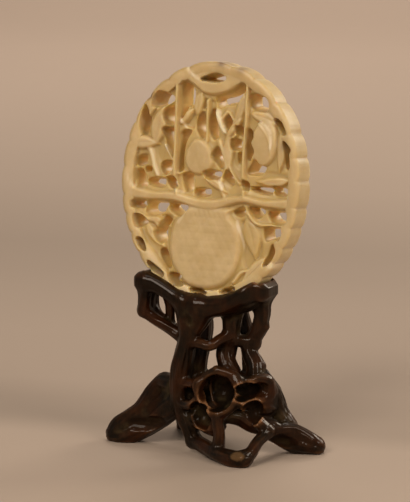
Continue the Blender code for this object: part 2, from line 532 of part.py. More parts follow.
def saddle_outline():
    """The saddle seen from the front: it dips to carry the plaque and rises to two rounded tips."""
    unit = SADDLE_RISE / GRID_SADDLE
    top, under = [], []
    for share, rise, thick in smooth_path(SADDLE_PROFILE, LOOP_STEPS):
        x = share * SADDLE_LENGTH / 2
        top.append(Vector((x, SADDLE_RISE + rise * unit)))
        under.append(Vector((x, SADDLE_RISE + rise * unit - thick * SADDLE_HEIGHT)))
    return top + under[::-1]


def build_stand(parts, cutters):
    """The wooden stand: branches and saddle fused, feet cut flat, groove cut for the plaque."""
    unit = SADDLE_RISE / GRID_SADDLE
    shapes = [tube(name, path, unit, LOOP_STEPS) for name, path in BRANCHES.items()]
    depth = PLAQUE_THICKNESS + 2 * LIP_WIDTH
    front = -depth / 2 - SADDLE_FORWARD
    shapes.append(slab("saddle", [saddle_outline()], front, front + depth, SADDLE_ROUND))
    stand = join("wood_stand", shapes)
    parts.objects.link(stand)
    fuse = stand.modifiers.new("Fuse", "REMESH")
    fuse.mode = "VOXEL"
    fuse.voxel_size = STAND_VOXEL
    ease = stand.modifiers.new("Ease", "SMOOTH")
    ease.iterations = EASE_ROUNDS
    apply_modifiers(stand)
    thin = stand.modifiers.new("Thin", "DECIMATE")
    thin.ratio = min(1.0, STAND_FACES / (2 * len(stand.data.polygons)))
    apply_modifiers(stand)

    bpy.ops.mesh.primitive_cube_add(size=1, location=(0, 0, -STAND_DEPTH))
    floor = bpy.context.object
    floor.name = "floor_cut"
    floor.scale = (2 * STAND_LENGTH, 2 * STAND_LENGTH, 2 * STAND_DEPTH)
    for holder in list(floor.users_collection):
        holder.objects.unlink(floor)
    as_guide(floor, cutters)
    add_boolean(stand, "DIFFERENCE", floor)
    apply_modifiers(stand)
    spread(stand.data)

    gap = FIT_GAP
    outline = oval(PLAQUE_WIDTH / 2 + gap, PLAQUE_HEIGHT / 2 + gap, 3 * OVAL_STEPS)
    groove_mesh = slab("groove_cut", [outline], -gap, PLAQUE_THICKNESS + gap, 0.0)
    groove = bpy.data.objects.new("groove_cut", groove_mesh)
    groove.data.transform(plaque_frame())
    as_guide(groove, cutters)
    add_boolean(stand, "DIFFERENCE", groove)
    apply_modifiers(stand)
    return stand


def spread(mesh):
    """Stretch the stand to its stated length and depth, centred on the origin."""
    for axis, size in ((0, STAND_LENGTH), (1, STAND_DEPTH)):
        low = min(v.co[axis] for v in mesh.vertices)
        high = max(v.co[axis] for v in mesh.vertices)
        for vertex in mesh.vertices:
            vertex.co[axis] = size * ((vertex.co[axis] - low) / (high - low) - 0.5)


def finish(item, material):
    """Give the piece its material and smooth shading."""
    item.data.materials.clear()
    item.data.materials.append(material)
    item.data.shade_smooth()
    item.data.set_sharp_from_angle(angle=math.radians(SHARP_ANGLE))


def main():
    clear_scene()
    parts = bpy.data.collections.new("jade_plaque_on_stand")
    cutters = bpy.data.collections.new("cutters")
    bpy.context.scene.collection.children.link(parts)
    bpy.context.scene.collection.children.link(cutters)
    finish(build_plaque(parts, cutters), make_material("jade", JADE_COLOUR, JADE_ROUGHNESS))
    finish(build_stand(parts, cutters), make_material("dark_wood", WOOD_COLOUR, WOOD_ROUGHNESS))


main()
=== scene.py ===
import math

import bpy
import numpy as np
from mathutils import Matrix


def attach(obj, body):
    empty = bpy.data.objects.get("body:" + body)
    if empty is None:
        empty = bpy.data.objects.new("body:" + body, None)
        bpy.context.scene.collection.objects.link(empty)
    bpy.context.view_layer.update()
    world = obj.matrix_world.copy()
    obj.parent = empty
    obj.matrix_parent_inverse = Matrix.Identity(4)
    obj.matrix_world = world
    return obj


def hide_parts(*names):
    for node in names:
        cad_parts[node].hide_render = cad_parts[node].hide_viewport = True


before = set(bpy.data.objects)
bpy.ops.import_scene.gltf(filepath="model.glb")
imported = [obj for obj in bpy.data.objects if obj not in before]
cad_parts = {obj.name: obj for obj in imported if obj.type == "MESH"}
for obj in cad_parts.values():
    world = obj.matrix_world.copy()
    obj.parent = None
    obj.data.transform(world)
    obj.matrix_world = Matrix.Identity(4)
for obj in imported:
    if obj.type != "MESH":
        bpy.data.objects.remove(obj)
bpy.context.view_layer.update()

import openvdb
from mathutils import Matrix, Vector

MM = 0.001

# Sizes of the plaque, of its stand and of how it stands in it, in millimetres, as in the frame
PLAQUE_WIDTH = 49.4
PLAQUE_HEIGHT = 61.0
PLAQUE_THICKNESS = 8.0
PLAQUE_LEAN = math.radians(5.3)
RIM_WIDTH = 3.2
LOBE_DEPTH = 0.45
LOBE_POWER = 3.2
GROUND_DROP = 1.0
FIELD_DROP = 1.8
BACK_INSET = 0.35
SADDLE_RISE = 40.0
STAND_LENGTH = 58.0
STAND_DEPTH = 38.0
SADDLE_LENGTH = 36.0
SADDLE_HEIGHT = 4.4
LIP_WIDTH = 3.0
SEAT_DEPTH = 2.1
SADDLE_OFFSET = 2.8
FIT_GAP = 0.3
LEAN_COS, LEAN_SIN = math.cos(PLAQUE_LEAN), math.sin(PLAQUE_LEAN)
PLAQUE_FOOT = SADDLE_RISE - SEAT_DEPTH + PLAQUE_THICKNESS / 2 * LEAN_SIN

# The drawing grid of the plaque's front: its units across the width, and how far its middle lies
# above the oval's centre. Its y is in millimetres.
GRID_WIDE = 50.0
GRID_RISE = 0.5

# How far the saddle's right tip is rounded back at its front, and between which places
TIP_TURN = 4.2
TIP_REACH = (11.0, 18.5)
TIP_BACK_SHARE = 0.55

# Fineness of the two carvings, the free space round the plaque's, in millimetres, and the most
# triangles that each may keep
PLAQUE_STEP = 0.16
PLAQUE_STEP_DEEP = 0.2
PLAQUE_MARGIN = 0.8
STAND_STEP = 0.25
MOST_TRIANGLES = 190000

# The space that the stand's field fills along x, y and z, the plaque's rows that its groove can
# reach, and a distance that counts as far off
STAND_SPACE = ((-31, 31), (-21, 21), (-1.5, 48))
GROOVE_ROWS = (-34, -16)
FAR_OFF = 6.0

# Openings: how much of its half width one loses on its way to the back, how much it flares at the
# front, and how deep the flare reaches, in millimetres
BACK_NARROWING = 0.45
FRONT_FLARE = 0.35
FLARE_DEPTH = 6.0

# Roundings in millimetres: the plaque's edges, the depth and width of its back's bevel, the saddle's
# edges, and the edges of the feet's flat undersides
EDGE_ROUNDING = 0.3
BACK_BEVEL = (0.5, 0.9)
SADDLE_ROUNDING = 1.6
FOOT_ROUNDING = 0.25

# How softly branches, the saddle and hollows run into the stand, in millimetres, and how high the
# ribs along a branch are, as a share of its radius
BRANCH_BLEND = 1.0
SADDLE_BLEND = 2.6
HOLLOW_BLEND = 0.2
RIB_HEIGHT = 0.045

# Shapes of leaves, fruit and basket: how full a leaf is at its foot, how pointed a fruit is at its
# top, and how far the basket's foot sags
LEAF_FULLNESS = 0.8
FRUIT_POINT = 0.16
BASKET_SAG = 0.9

# Levels below the rim's face, in millimetres: the lip and the bail, and the basket's edge
LIP_LEVEL = 0.35
BASKET_LEVEL = 0.45

# Paper: its two tones, how pale it is (0 to 1) at distances behind the object in metres, as painted
# shade with a band of painted shadow just behind it, and how its slope is turned from the camera
PAPER_PALE = (0.43, 0.33, 0.262, 1)
PAPER_DARK = (0.262, 0.202, 0.158, 1)
PAPER_SHADE = [
    (-0.05, 0.86), (0.006, 0.8), (0.022, 0.38), (0.045, 0.42), (0.07, 0.66), (0.14, 0.7), (0.2, 0.6),
    (0.26, 0.44), (0.32, 0.34), (0.41, 0.48), (0.5, 0.62), (0.65, 0.7), (0.87, 0.76), (1.3, 0.9)]
PAPER_TURN = math.radians(-14)

# Camera: how it looks at the object in the photograph, and the image's size in pixels
CAMERA_AZIMUTH = math.radians(25)
CAMERA_ELEVATION = math.radians(9)
CAMERA_DISTANCE = 0.6
CAMERA_TARGET = (0.0, 0.0, 0.051)
CAMERA_SIDESTEP = 0.00254
IMAGE_HEIGHT = 502
FOCAL_PIXELS = 2358

# Notches between the rim's lobes, in degrees from the top, to the right and to the left
NOTCHES_RIGHT = (12, 28, 46, 64, 76, 87, 100, 110, 121, 130, 140, 152, 166)
NOTCHES_LEFT = (16, 31, 46, 61, 71, 84, 98, 108, 118, 129, 140, 153, 167)

# The saddle seen from the front: share of its half length, rise of its top over its lowest point
# in millimetres, and its thickness there as a share of SADDLE_HEIGHT
SADDLE_PROFILE = [
    (-1.05, 4.4, 0.5), (-0.96, 5.4, 0.85), (-0.77, 5.0, 1.0), (-0.58, 3.5, 1.0), (-0.33, 1.1, 1.0),
    (-0.12, 0.2, 1.05), (0.07, 0.0, 1.05), (0.27, 0.6, 1.0), (0.47, 2.2, 1.0), (0.65, 4.1, 1.1),
    (0.77, 5.1, 1.15), (0.87, 4.7, 1.1), (0.95, 3.2, 0.5)]

# Openings cut through the plaque, each a smooth loop through a few points of the drawing grid
OPENINGS = [
    # The bail's eye, then left of the left bar from the top down
    [(-3.3, 25.5), (-1.2, 26.4), (1, 26.8), (3.3, 25.8), (1, 25.0), (-1.5, 25.1)],
    [(-15.3, 21.8), (-11.2, 20.4), (-13.7, 18.4), (-16.7, 18.2)],
    [(-18.8, 18.2), (-17.9, 15), (-18.5, 11.2), (-19.8, 11.2), (-20, 14.5)],
    [(-12.9, 18.4), (-11, 18.8), (-11, 13.6), (-12.6, 13.7), (-13.8, 15.8)],
    [(-13.8, 12.6), (-11, 12.3), (-11, 5.2), (-12.5, 8), (-13.5, 10.6)],
    [(-14.2, 4), (-11.3, 4.4), (-11, 2.8), (-12.8, 0.9), (-14.2, 2)],
    # Between the bars
    [(-9, 24.2), (-5.9, 23), (-5.7, 18.9), (-7.3, 18.4), (-8, 16.4), (-9.2, 15.9)],
    [(-8.9, 12), (-6.3, 12.2), (-7.6, 9.4), (-8.2, 6), (-8.1, 2.6), (-9.1, 2.4), (-9.1, 9)],
    [(-4.8, 15.3), (-3, 17.2), (-2.4, 15.5), (-2.3, 11.4), (-3.2, 10.6), (-4.9, 13.3)],
    [(-0.8, 17.8), (0.4, 17), (1.4, 11.5), (0.2, 10.4), (-0.9, 12.8)],
    [(0.4, 20.8), (4.5, 22.2), (8, 24.6), (8.5, 23.2), (6, 19.6), (3.4, 19.2), (1.4, 18.2)],
    [(4.2, 16.4), (5.2, 14.8), (4.2, 13.1), (3.2, 14.8)],
    [(6.6, 13.9), (8.5, 13.2), (8.4, 11.6), (6.9, 12)],
    [(5.3, 10.6), (7.8, 10.3), (7.8, 8.1), (5.6, 8.2)],
    [(7, 7.4), (8.3, 7), (8.3, 4.6), (7.2, 5)],
    # Right of the right bar
    [(10.4, 22.2), (14.1, 21.4), (15.3, 20), (14.8, 18.2), (12.9, 18.1), (10.5, 18.9)],
    [(9.9, 13.4), (11.4, 11.6), (10.8, 10), (11.7, 7.6), (10.2, 5.6), (9.9, 9)],
    [(17.4, 16), (19.1, 15.4), (20.5, 12.6), (19, 13.2)],
    [(19.9, 10.6), (21.8, 8.8), (21.5, 7.6), (21.7, 4.2), (20.7, 4.2), (20.5, 7.5)],
    [(10.3, 3.5), (12.1, 5.7), (13.7, 4.4), (15, 4), (14.1, 2.4), (12.5, 1.9), (10.2, 2.1)],
    # Beside and under the middle peach
    [(0.5, 8), (2, 8.2), (3.4, 4.2), (2.6, 3.2), (0.3, 5.8)],
    [(-2, 2), (0, 2.6), (2.4, 2.2), (2.4, 0.9), (0.5, 0.4), (-1.8, 0.8)],
    [(4.4, 2.7), (6.3, 0.5), (5.8, -0.9), (3.5, 0.9)],
    # Above the left half of the lip
    [(-17.5, -0.3), (-13.4, -0.2), (-13.7, -2.4), (-17.8, -2)],
    [(-12.5, 0), (-11, 0.4), (-10, 0), (-9.5, -2.1), (-11.4, -2.3)],
    [(-8, 1), (-5.4, 1.6), (-4.9, -1.5), (-5.6, -3), (-7.3, -2.9)],
    [(-4.4, -2.3), (-0.5, -2.2), (-0.4, -3.8), (-3.9, -4.2)],
    [(-21, 5), (-18.8, 5.6), (-18.8, 3.4), (-21.1, 2.8)],
    [(-18.9, 2.6), (-17.5, 2.5), (-17.5, 1.4), (-18.8, 1.4)],
    [(-21.4, 1.5), (-19.7, 1.8), (-18.5, -2.2), (-21, -2.4)],
    # Under the left half of the lip, down to the foot
    [(-21.7, -6.3), (-18.7, -6.2), (-18.9, -7.9), (-21.7, -7.7)],
    [(-17.5, -6.2), (-12.3, -6.1), (-12.5, -7.8), (-13.5, -9), (-16.4, -9.8), (-18.2, -8.8)],
    [(-11.3, -6.3), (-6.4, -6.8), (-6.8, -8.2), (-8.7, -9.5), (-11.3, -8)],
    [(-12.7, -9.6), (-10.8, -10.6), (-12.1, -12.6), (-12.2, -16), (-14.2, -16.4), (-15.5, -14),
     (-13.8, -12)],
    [(-21, -9.8), (-19.1, -10), (-17.6, -11.6), (-19.7, -12.8), (-20.8, -12)],
    [(-20, -15.9), (-18.6, -16), (-17.5, -18.6), (-19, -17.8)],
    [(-13.5, -18.3), (-11.9, -18.4), (-10.5, -22.2), (-11.3, -22.7), (-13.3, -20)],
    [(-16.3, -21.5), (-12.5, -24), (-12.5, -24.9), (-15.7, -23)],
    [(-10.2, -24), (-7.2, -24.6), (-8.4, -25.8), (-6.6, -26.8), (-8.8, -27), (-10.4, -25)],
    # Under the basket's foot
    [(-4, -27.5), (0, -28.3), (-1, -28.8), (-3.6, -28.4)],
    [(4.2, -27.6), (6.4, -26.7), (8, -26.7), (7.6, -27.6), (5, -28.2)],
    # Under the right half of the lip
    [(6.6, -7.7), (8.2, -6.4), (9.7, -6.4), (10, -7.6), (8.5, -8.7)],
    [(10.9, -6.3), (13.4, -6.2), (15.2, -6.9), (14.6, -7.9), (13.1, -8.8)],
    [(16.3, -7), (21, -6.8), (21, -9.6), (17.7, -9.7)],
    [(15.5, -11.1), (19.8, -11.1), (19.7, -13.7), (17.9, -13.8), (15.8, -14.3)],
    [(17.7, -15.2), (18.8, -16.8), (17.5, -19.4), (15.9, -20.4), (16.8, -17.6)],
    # Above the right half of the lip
    [(17.6, -0.6), (21.3, -1.4), (20, -2.9), (17.7, -2.4)],
    [(11.4, -1), (16.6, -1.1), (16.5, -2.6), (14.2, -2.6), (11.3, -1.9)],
    [(8.7, 0.6), (10.4, -0.4), (10.2, -1.9), (8.7, -1)],
]

# Basket: half widths of its body at heights, from the neck to the foot
BASKET_SIDE = [(6.4, -6.5), (6.8, -8.4), (9.2, -11), (10.2, -16), (9.6, -20.5), (7.8, -24), (4.8, -26.8)]
BASKET_CENTRE = -0.8
WEAVE_PITCH = 1.9
WEAVE_DEPTH = 0.06

# The basket's lip, which flares out to the rim on both sides: points and half width
BASKET_LIP = [
    (-22.9, -3.9, 1.9), (-16.4, -4.6, 1.3), (-10, -4.5, 1.3), (-4, -5.8, 1.4), (1, -6.1, 1.5),
    (6, -4.8, 1.2), (10, -4.2, 1.1), (15.3, -5, 1.1), (22.4, -4.8, 1.6)]

# Pockets sunk into the ground without going through: how deep their floor lies, and their outline
POCKETS = [
    (2.3, [(8.6, -9.6), (12, -10), (14.6, -13.6), (15.4, -17.4), (13.8, -20.8), (10.6, -22.4), (9.4, -19),
     (10, -14)]),
    (2.7, [(-4.4, 20.6), (0.2, 20.4), (0.6, 17.6), (-0.8, 15.8), (-2.4, 17.6), (-4.2, 17.6)]),
    (2.5, [(-8.2, 13.6), (-5.4, 12.6), (-4.6, 15), (-5.2, 17), (-7.2, 15.8)]),
    (2.3, [(5.2, 13.4), (8.6, 14.6), (8.7, 4), (6.8, 3.6), (5.4, 7.6)]),
    (2.1, [(-16.4, 8), (-14.8, 13), (-13.4, 9.4), (-13.2, 5), (-15, 3.6)]),
    (2.4, [(-15.4, -10), (-12.4, -9), (-10.4, -9.6), (-10.8, -13), (-12.2, -17.2), (-15, -15)]),
    (2.1, [(18, 12.4), (19.4, 12.6), (20.2, 8), (19.8, 3.2), (18.2, 3)]),
    (2.2, [(2.6, 9.6), (4, 8.4), (4.4, 3.6), (6.6, 1.2), (5.8, -1.8), (2.6, 0.6), (1.4, 6.6)]),
    (2.1, [(10.4, 2.6), (20.6, 2.8), (21, -2.9), (10.6, -2.8)]),
    (2.2, [(-21, 5.2), (-16.9, 5.4), (-16.2, -2.6), (-21, -2.6)]),
]

# The crescent below the bail's eye
BAIL = [(-9, 26.6), (-5.6, 23.8), (-3, 22), (0, 21.4), (3, 22), (5.5, 23.2), (9, 26.2), (0, 29)]

# Handle bars and stems: points, half width, and how far their ridge lies below the rim's face
STEMS = {
    "bar_left": ([(-10.2, 25.6), (-10.1, 12), (-10.1, 2), (-9.2, -4)], 0.5, 0.2),
    "bar_right": ([(9.5, 25), (9.4, 14), (9.1, 4), (9.6, -4)], 0.48, 0.2),
    "stem_centre": ([(-1.6, 20), (-1.5, 14), (-1.6, 9)], 0.55, 1.0),
    "tendril_left": ([(-19, 10), (-17, 6), (-16, 2.6), (-14.8, 0.3)], 0.8, 0.7),
    "spray_left": ([(-13.1, 8.6), (-11.9, 6.4), (-10.6, 4.8)], 0.4, 0.7),
    "stem_under_arm": ([(9.8, -6.4), (12.3, -9.4), (14.6, -10.4), (20.8, -10.4)], 0.55, 0.7),
    "stem_low_left": ([(-21.9, -12.5), (-17, -18), (-12.6, -23), (-9, -27)], 0.8, 0.5),
    "stem_mid_left": ([(-21.9, -8.8), (-17.5, -10.6), (-14.8, -11.6), (-12.5, -17.4)], 0.7, 0.8),
    "stem_centre_low": ([(2, 10), (4.2, 3.6), (2.6, -0.8), (4, -4)], 0.7, 0.9),
    "ring_of_hole": ([(3.9, 17.4), (2.3, 15), (4, 12), (6, 14.6), (4.6, 17.3)], 0.5, 0.9),
    "vein_stem_right": ([(6.6, 12), (4.6, 9), (5, 4), (8, -0.5)], 0.45, 0.95),
    "tip_low_right": ([(7.4, -25.4), (9.4, -22.8), (12.1, -21.8)], 0.5, 0.9),
}

# Leaves: foot, tip, greatest width, side bend, and how far their face lies below the rim's face
LEAVES = [
    ((-16.2, 8.0), (-12.6, 19.8), 4.4, 0.6, 0.6),
    ((-22.9, 8.2), (-14.6, 8.6), 3.6, 0.5, 0.45),
    ((-9.4, 13.6), (-5.2, 18.2), 2.4, 0.2, 0.7),
    ((-3.4, 22.5), (-4.4, 15.6), 3.2, -0.5, 1.2),
    ((0.6, 18), (3.2, 11.4), 1.8, 0.3, 0.5),
    ((8.6, 22.8), (5.6, 12.4), 2.8, 0.4, 0.85),
    ((4.6, 12.2), (5.4, 2.4), 3.0, -0.4, 1.05),
    ((13.8, 24), (19.7, 13.4), 3.2, -0.6, 0.75),
    ((19.3, 14), (18.6, 2.4), 3.0, 0.5, 0.95),
    ((22.4, 1.2), (12.1, 0.4), 2.8, 0.4, 0.82),
    ((-14.4, 0.2), (-6.2, 2), 1.8, 0.2, 0.88),
    ((-18.1, -11.2), (-12.9, -17.8), 2.6, -0.3, 1.1),
    ((10.2, -9), (13.3, -19.5), 4.6, 0.6, 1.3),
    ((10.2, 17.4), (19.6, 14.2), 3.4, 0.5, 0.6),
    ((8.6, 16.4), (3.4, 9.6), 2.2, -0.4, 0.6),
    ((-2.4, 1.4), (5.2, -3.4), 2.4, 0.3, 0.6),
    ((-17.6, -9.6), (-10.6, -12.6), 1.8, 0.2, 0.8),
    ((18.4, -18), (9, -26.4), 3.8, -0.5, 0.92),
]

# Fruit: centre, half sizes, turn in degrees, and how far their face lies below the rim's face
FRUIT = {
    "peach_centre": ((-3.4, 5.9), (4.1, 4.7), -8, 0.3),
    "peach_right": ((14.4, 10.2), (3.9, 6.3), 12, 0.2),
}

# Places where the stone is stained brown: point, depth below the face, reach, strength. The last one, at
# the left end of the bail's eye, is painted shadow inside the hole.
STAINS_AND_SHADOW = [
    (-17.4, 20.9, 1.0, 1.2, 1.0), (23.6, -5.5, 4.5, 1.1, 1.0), (2.2, 29.6, 0.8, 1.2, 0.9),
    (7.6, 28.2, 1.5, 1.2, 0.8), (19.8, 9.6, 1.5, 1.2, 0.5), (22.6, 12.4, 4.0, 1.0, 0.8),
    # The bail's eye: painted shadow inside the hole
    (-3.0, 25.4, 1.5, 0.6, 1.0)]

# Painted highlights: small pale streaks where polished facets catch the light: points, half width and
# strength
PAINTED_HIGHLIGHTS = [
    ([(1.1, 17.5), (2.0, 15.0), (3.1, 12.7)], 1.1, 1.0),
    ([(-9.0, 15.3), (-8.3, 14.2), (-7.5, 13.1)], 0.6, 1.0),
    ([(-12.9, 8.3), (-12.1, 6.7), (-11.2, 5.0)], 0.5, 1.0),
    ([(13.4, 15.5), (15.5, 13.9), (16.6, 11.1), (16.5, 8.8)], 0.5, 0.9),
    ([(7.7, -9.9), (9.3, -13.9), (10.3, -17.9)], 0.45, 0.7),
    ([(2.4, 0.5), (3.0, -0.7), (3.4, -2.0)], 0.6, 0.9),
    ([(17.8, -20.4), (20.9, -19.7), (24.0, -18.5)], 1.2, 0.8),
    ([(-16.9, 6.9), (-16.2, 3.9), (-15.0, 0.9)], 0.8, 0.5),
    ([(-23.1, -0.7), (-22.5, -1.6), (-21.5, -2.5)], 0.5, 0.6),
    ([(18.8, 20.7), (20.0, 19.5), (20.7, 17.5)], 0.6, 0.8),
    ([(-7.0, 27.8), (-5.8, 26.5), (-4.2, 25.5)], 0.7, 0.6),
    ([(-11.4, -2.2), (-9.7, -2.8), (-7.7, -3.5)], 0.5, 0.5),
    ([(10.8, -2.3), (13.6, -2.8), (15.9, -3.0)], 0.5, 0.5),
    ([(-6.7, -6.7), (-7.1, -8.8), (-8.2, -10.9)], 0.7, 0.4),
]

# Stand's branches: points with their radius (x, y, z, radius)
BRANCHES = [
    # The open frame under the left end of the saddle
    [(-16.8, -7.6, 43.2, 1.9), (-17.2, -7, 39, 1.6), (-17.6, -6.6, 35.4, 1.6)],
    [(-16.8, -4.4, 42.6, 1.9), (-17.2, -4.2, 38.6, 1.5), (-17.5, -4, 35, 1.5)],
    [(-16.6, -1.6, 42, 1.6), (-17, -1.6, 38, 1.2), (-16.8, -2, 34.4, 1.4)],
    [(-17.6, -6.4, 35.2, 1.6), (-14.5, -5.6, 33, 1.5), (-10.5, -5.4, 31, 1.5), (-6, -5.5, 28.6, 1.9)],
    [(-16.8, -2.6, 34.6, 1.5), (-13.4, -2.6, 32.2, 1.3), (-9.5, -3, 29.8, 1.4)],
    [(-12.6, -3, 39.5, 1.4), (-12, -2.6, 36, 1.2), (-11.8, -3, 31.5, 1.3)],
    # The flares under the saddle, and the trunk with its branches
    [(-1.5, -6.6, 38, 3), (-1, -6.9, 35, 2.6), (-2.2, -7.3, 32, 1.9), (-3.6, -7.5, 29.5, 1.5)],
    [(3, -6, 38.4, 2.4), (7, -5.4, 38.6, 2.6), (10.5, -4.4, 39.6, 2.8)],
    [(-5.5, -6.5, 38, 2.6), (-5, -7.5, 34.5, 2.3), (-4.5, -7.5, 30, 2.2), (-5.5, -7, 25.5, 2.6),
     (-6.5, -7, 21.5, 2.8), (-7, -7, 17, 2.6), (-7, -7, 13.5, 2.3), (-6, -7.5, 10, 2.1), (-4, -8, 6.5, 2.1),
     (-2.5, -8, 3, 2)],
    [(-5.5, 0, 37, 3), (-4, 0, 32, 2.8), (-4, -1, 27.5, 2.8), (-4.5, -2, 23, 2.8), (-5, -3, 17, 3)],
    [(6.5, -3, 38, 3), (6, -3, 33.5, 2.4), (5.5, -3, 30, 2.2), (4.5, -3, 26.5, 2.6), (5, -4, 23.5, 2.4),
     (8, -5, 19, 2.2)],
    [(12.5, -1, 39.5, 3), (13.5, -1, 36, 2.2), (12.5, -1, 32, 2), (11, -1, 29, 2.1), (10.5, -2, 26, 2),
     (12.5, -3, 23, 2.2), (13, -4, 19, 2.4)],
    [(4, 3, 38, 2.6), (6, 3.5, 32, 2.2), (8, 3, 26, 2.2), (10, 1, 19, 2.6)],
    # The shelf, the cross branch and two knobs on the right
    [(-5, -7, 28.5, 1.4), (-1, -8, 28.5, 1.3), (2, -8, 28, 1.3), (3.5, -6, 29, 1.5), (5.5, -4, 30, 1.8)],
    [(6, -3, 29, 1.6), (9.5, -2, 28.5, 1.6), (11.5, -1, 28, 1.6)],
    [(12.5, -1, 31, 1.5), (14.6, -1, 32.6, 0.9)],
    [(11.5, -2, 24, 1.8), (13.8, -2, 22.6, 1.3)],
    # The ring and the cups at the front
    [(5.5, -11, 22.5, 1.3), (2.5, -11, 20.5, 1.3), (0.5, -12, 18.5, 1.3), (2, -12.5, 15.5, 1.3),
     (4, -13, 13, 1.3), (6.5, -13, 12, 1.4), (9, -12.5, 13, 1.4), (11, -12, 15, 1.4), (12, -12, 18, 1.4),
     (11, -11, 21, 1.3), (8.5, -11, 22, 1.2), (5.5, -11, 22.5, 1.3)],
    [(5, -6.6, 19, 3.6), (6, -7, 15.5, 3.8)],
    [(1, -11.5, 19, 1.3), (-3, -9, 18, 1.3), (-7, -7.5, 18, 1.6)],
    [(10.5, -11, 20.5, 1.3), (13.5, -9, 20, 1.2), (15, -7, 20.5, 1.2), (16.5, -4, 19.5, 1.5),
     (16.5, -3, 16.5, 1.8)],
    [(11.5, -11, 16.5, 1.5), (13.5, -8, 14.5, 1.8), (15, -4, 14.5, 2.6), (15.5, -2, 16, 2.8)],
    # The right leg and foot
    [(12.5, -1, 19, 3.2), (15, 0, 15, 3.4), (16.5, 1, 10.5, 3.2), (19, 1.5, 6.5, 3.2)],
    [(16.5, -1, 5.5, 2.4), (20.5, 1, 4.2, 3.4), (23.5, 2.5, 3, 3.4), (26.6, 3.4, 1.9, 2.6)],
    [(17, -6, 7, 1.3), (19.5, -3, 7, 1.4), (22.5, 0, 6.5, 1.4), (26, 2, 4, 1.4)],
    # The front foot: its loop, post and arches
    [(-2.5, -8, 3, 2), (2.5, -11, 2.4, 1.9), (8, -14.5, 1.9, 2), (13, -16.4, 1.6, 2.3),
     (15.6, -16.4, 2, 2.2)],
    [(15.6, -16.6, 2, 2), (17, -15, 3.5, 1.6), (17.5, -12, 5.5, 1.5), (18.5, -8, 7.5, 1.5)],
    [(6.5, -13, 12, 1.4), (7, -13.5, 9.5, 1.4), (7.5, -13.6, 7, 1.5), (7, -13.4, 2.5, 1.7)],
    [(12, -11, 15.5, 1.8), (14.5, -10, 13, 1.6), (16.5, -9.5, 10, 1.6), (18.5, -8, 7.5, 1.6)],
    [(7, -11, 11.5, 2.2), (10.5, -8, 10.5, 2.4), (14, -7, 8.5, 2.2), (17.5, -4, 7.5, 2.2)],
    # The left leg, the small ring beside it, and the back leg
    [(-7, -4, 16, 3), (-11.5, -2.6, 15.8, 2.8), (-14.6, -1.4, 15.6, 2.6), (-17.4, -1.8, 12.4, 2.6),
     (-20, -3, 8.6, 2.3), (-22.6, -3.8, 6.4, 2.5), (-25.6, -4.6, 4.2, 2.5), (-27.2, -4.8, 2.2, 2.2)],
    [(-8, -5, 12, 3), (-12, -4, 9, 3), (-16, -3.6, 6, 2.8), (-20.5, -4, 3.2, 2.8), (-24.5, -4.8, 1.4, 2.9),
     (-27, -5, 1.2, 2.3)],
    [(-6.5, -7.6, 15.5, 1.4), (-5.5, -8.5, 13, 1.3), (-3.5, -9.5, 12.6, 1.3), (-0.5, -11, 14, 1.3),
     (2, -12, 16, 1.3)],
    [(-7, 0, 16.5, 3.4), (-10.5, 5, 11.5, 3.2), (-13.5, 10.5, 5.6, 3), (-15.4, 14.6, 1.2, 3.2)],
    [(8, 0, 17, 3), (2, 5, 12, 2.4), (-6, 10.5, 7, 2.2), (-13.8, 14.4, 2.4, 2.2)],
    # Webs and cores that fill the middle
    [(-9, -3.5, 13.5, 2.8), (-14, -2.6, 11, 2.6), (-19, -3, 7.5, 2.4), (-24, -4.6, 4, 2)],
    [(-5, -6, 10, 2.4), (0, -8, 8.5, 2.6), (5, -10.5, 8, 2.6)],
    [(-5, -4, 13, 3.4), (2, -6, 12.5, 3.4), (9, -5.5, 13.5, 3.6), (15, -3, 12.5, 3.2)],
    [(-6, -2.5, 16.5, 3.6), (-0.5, -2.5, 16.5, 3.6), (6.5, -3, 17, 3.6), (12, -1.5, 17.5, 3.2)],
]

# Hollows scooped out of the stand: centre and half sizes
HOLLOWS = {
    "ring": ((6.3, -14.2, 17.2), (4.9, 7.5, 4.7)),
    "right_cup": ((13.6, -11, 17.6), (3.0, 6.5, 2.4)),
    "small_left": ((-3.2, -12, 15.6), (2.2, 5, 1.8)),
    "low_left": ((0.8, -14, 10.4), (3.9, 6.5, 4.2)),
    "under_cup": ((15.2, -10.5, 12.4), (2.4, 5, 3.2)),
    "foot_right": ((21.5, -4.6, 3.2), (6.5, 3.6, 2.6)),
    "foot_left": ((-16, -8.6, 5.6), (8.5, 3.6, 3)),
}

# The pale oval knot on the front foot: its place, half width, half height, and its dark rim's
# place as a share of those
KNOT = ((14.8, -18.2, 3.0), 1.9, 1.0)
KNOT_RIM = 1.15

# Limits of the jade's tones in millimetres, where each starts and where it is full: in from the
# rim's outer edge, and below the rim's face
FIELD_INSIDE = (1.4, 2.6)
NEAR_BACK = (7.6, 6.8)
GROUND_BELOW = (0.9, 1.5)
DEEP_BELOW = (2.4, 4.2)
HIGHLIGHT_BELOW = (2.4, 1.4)

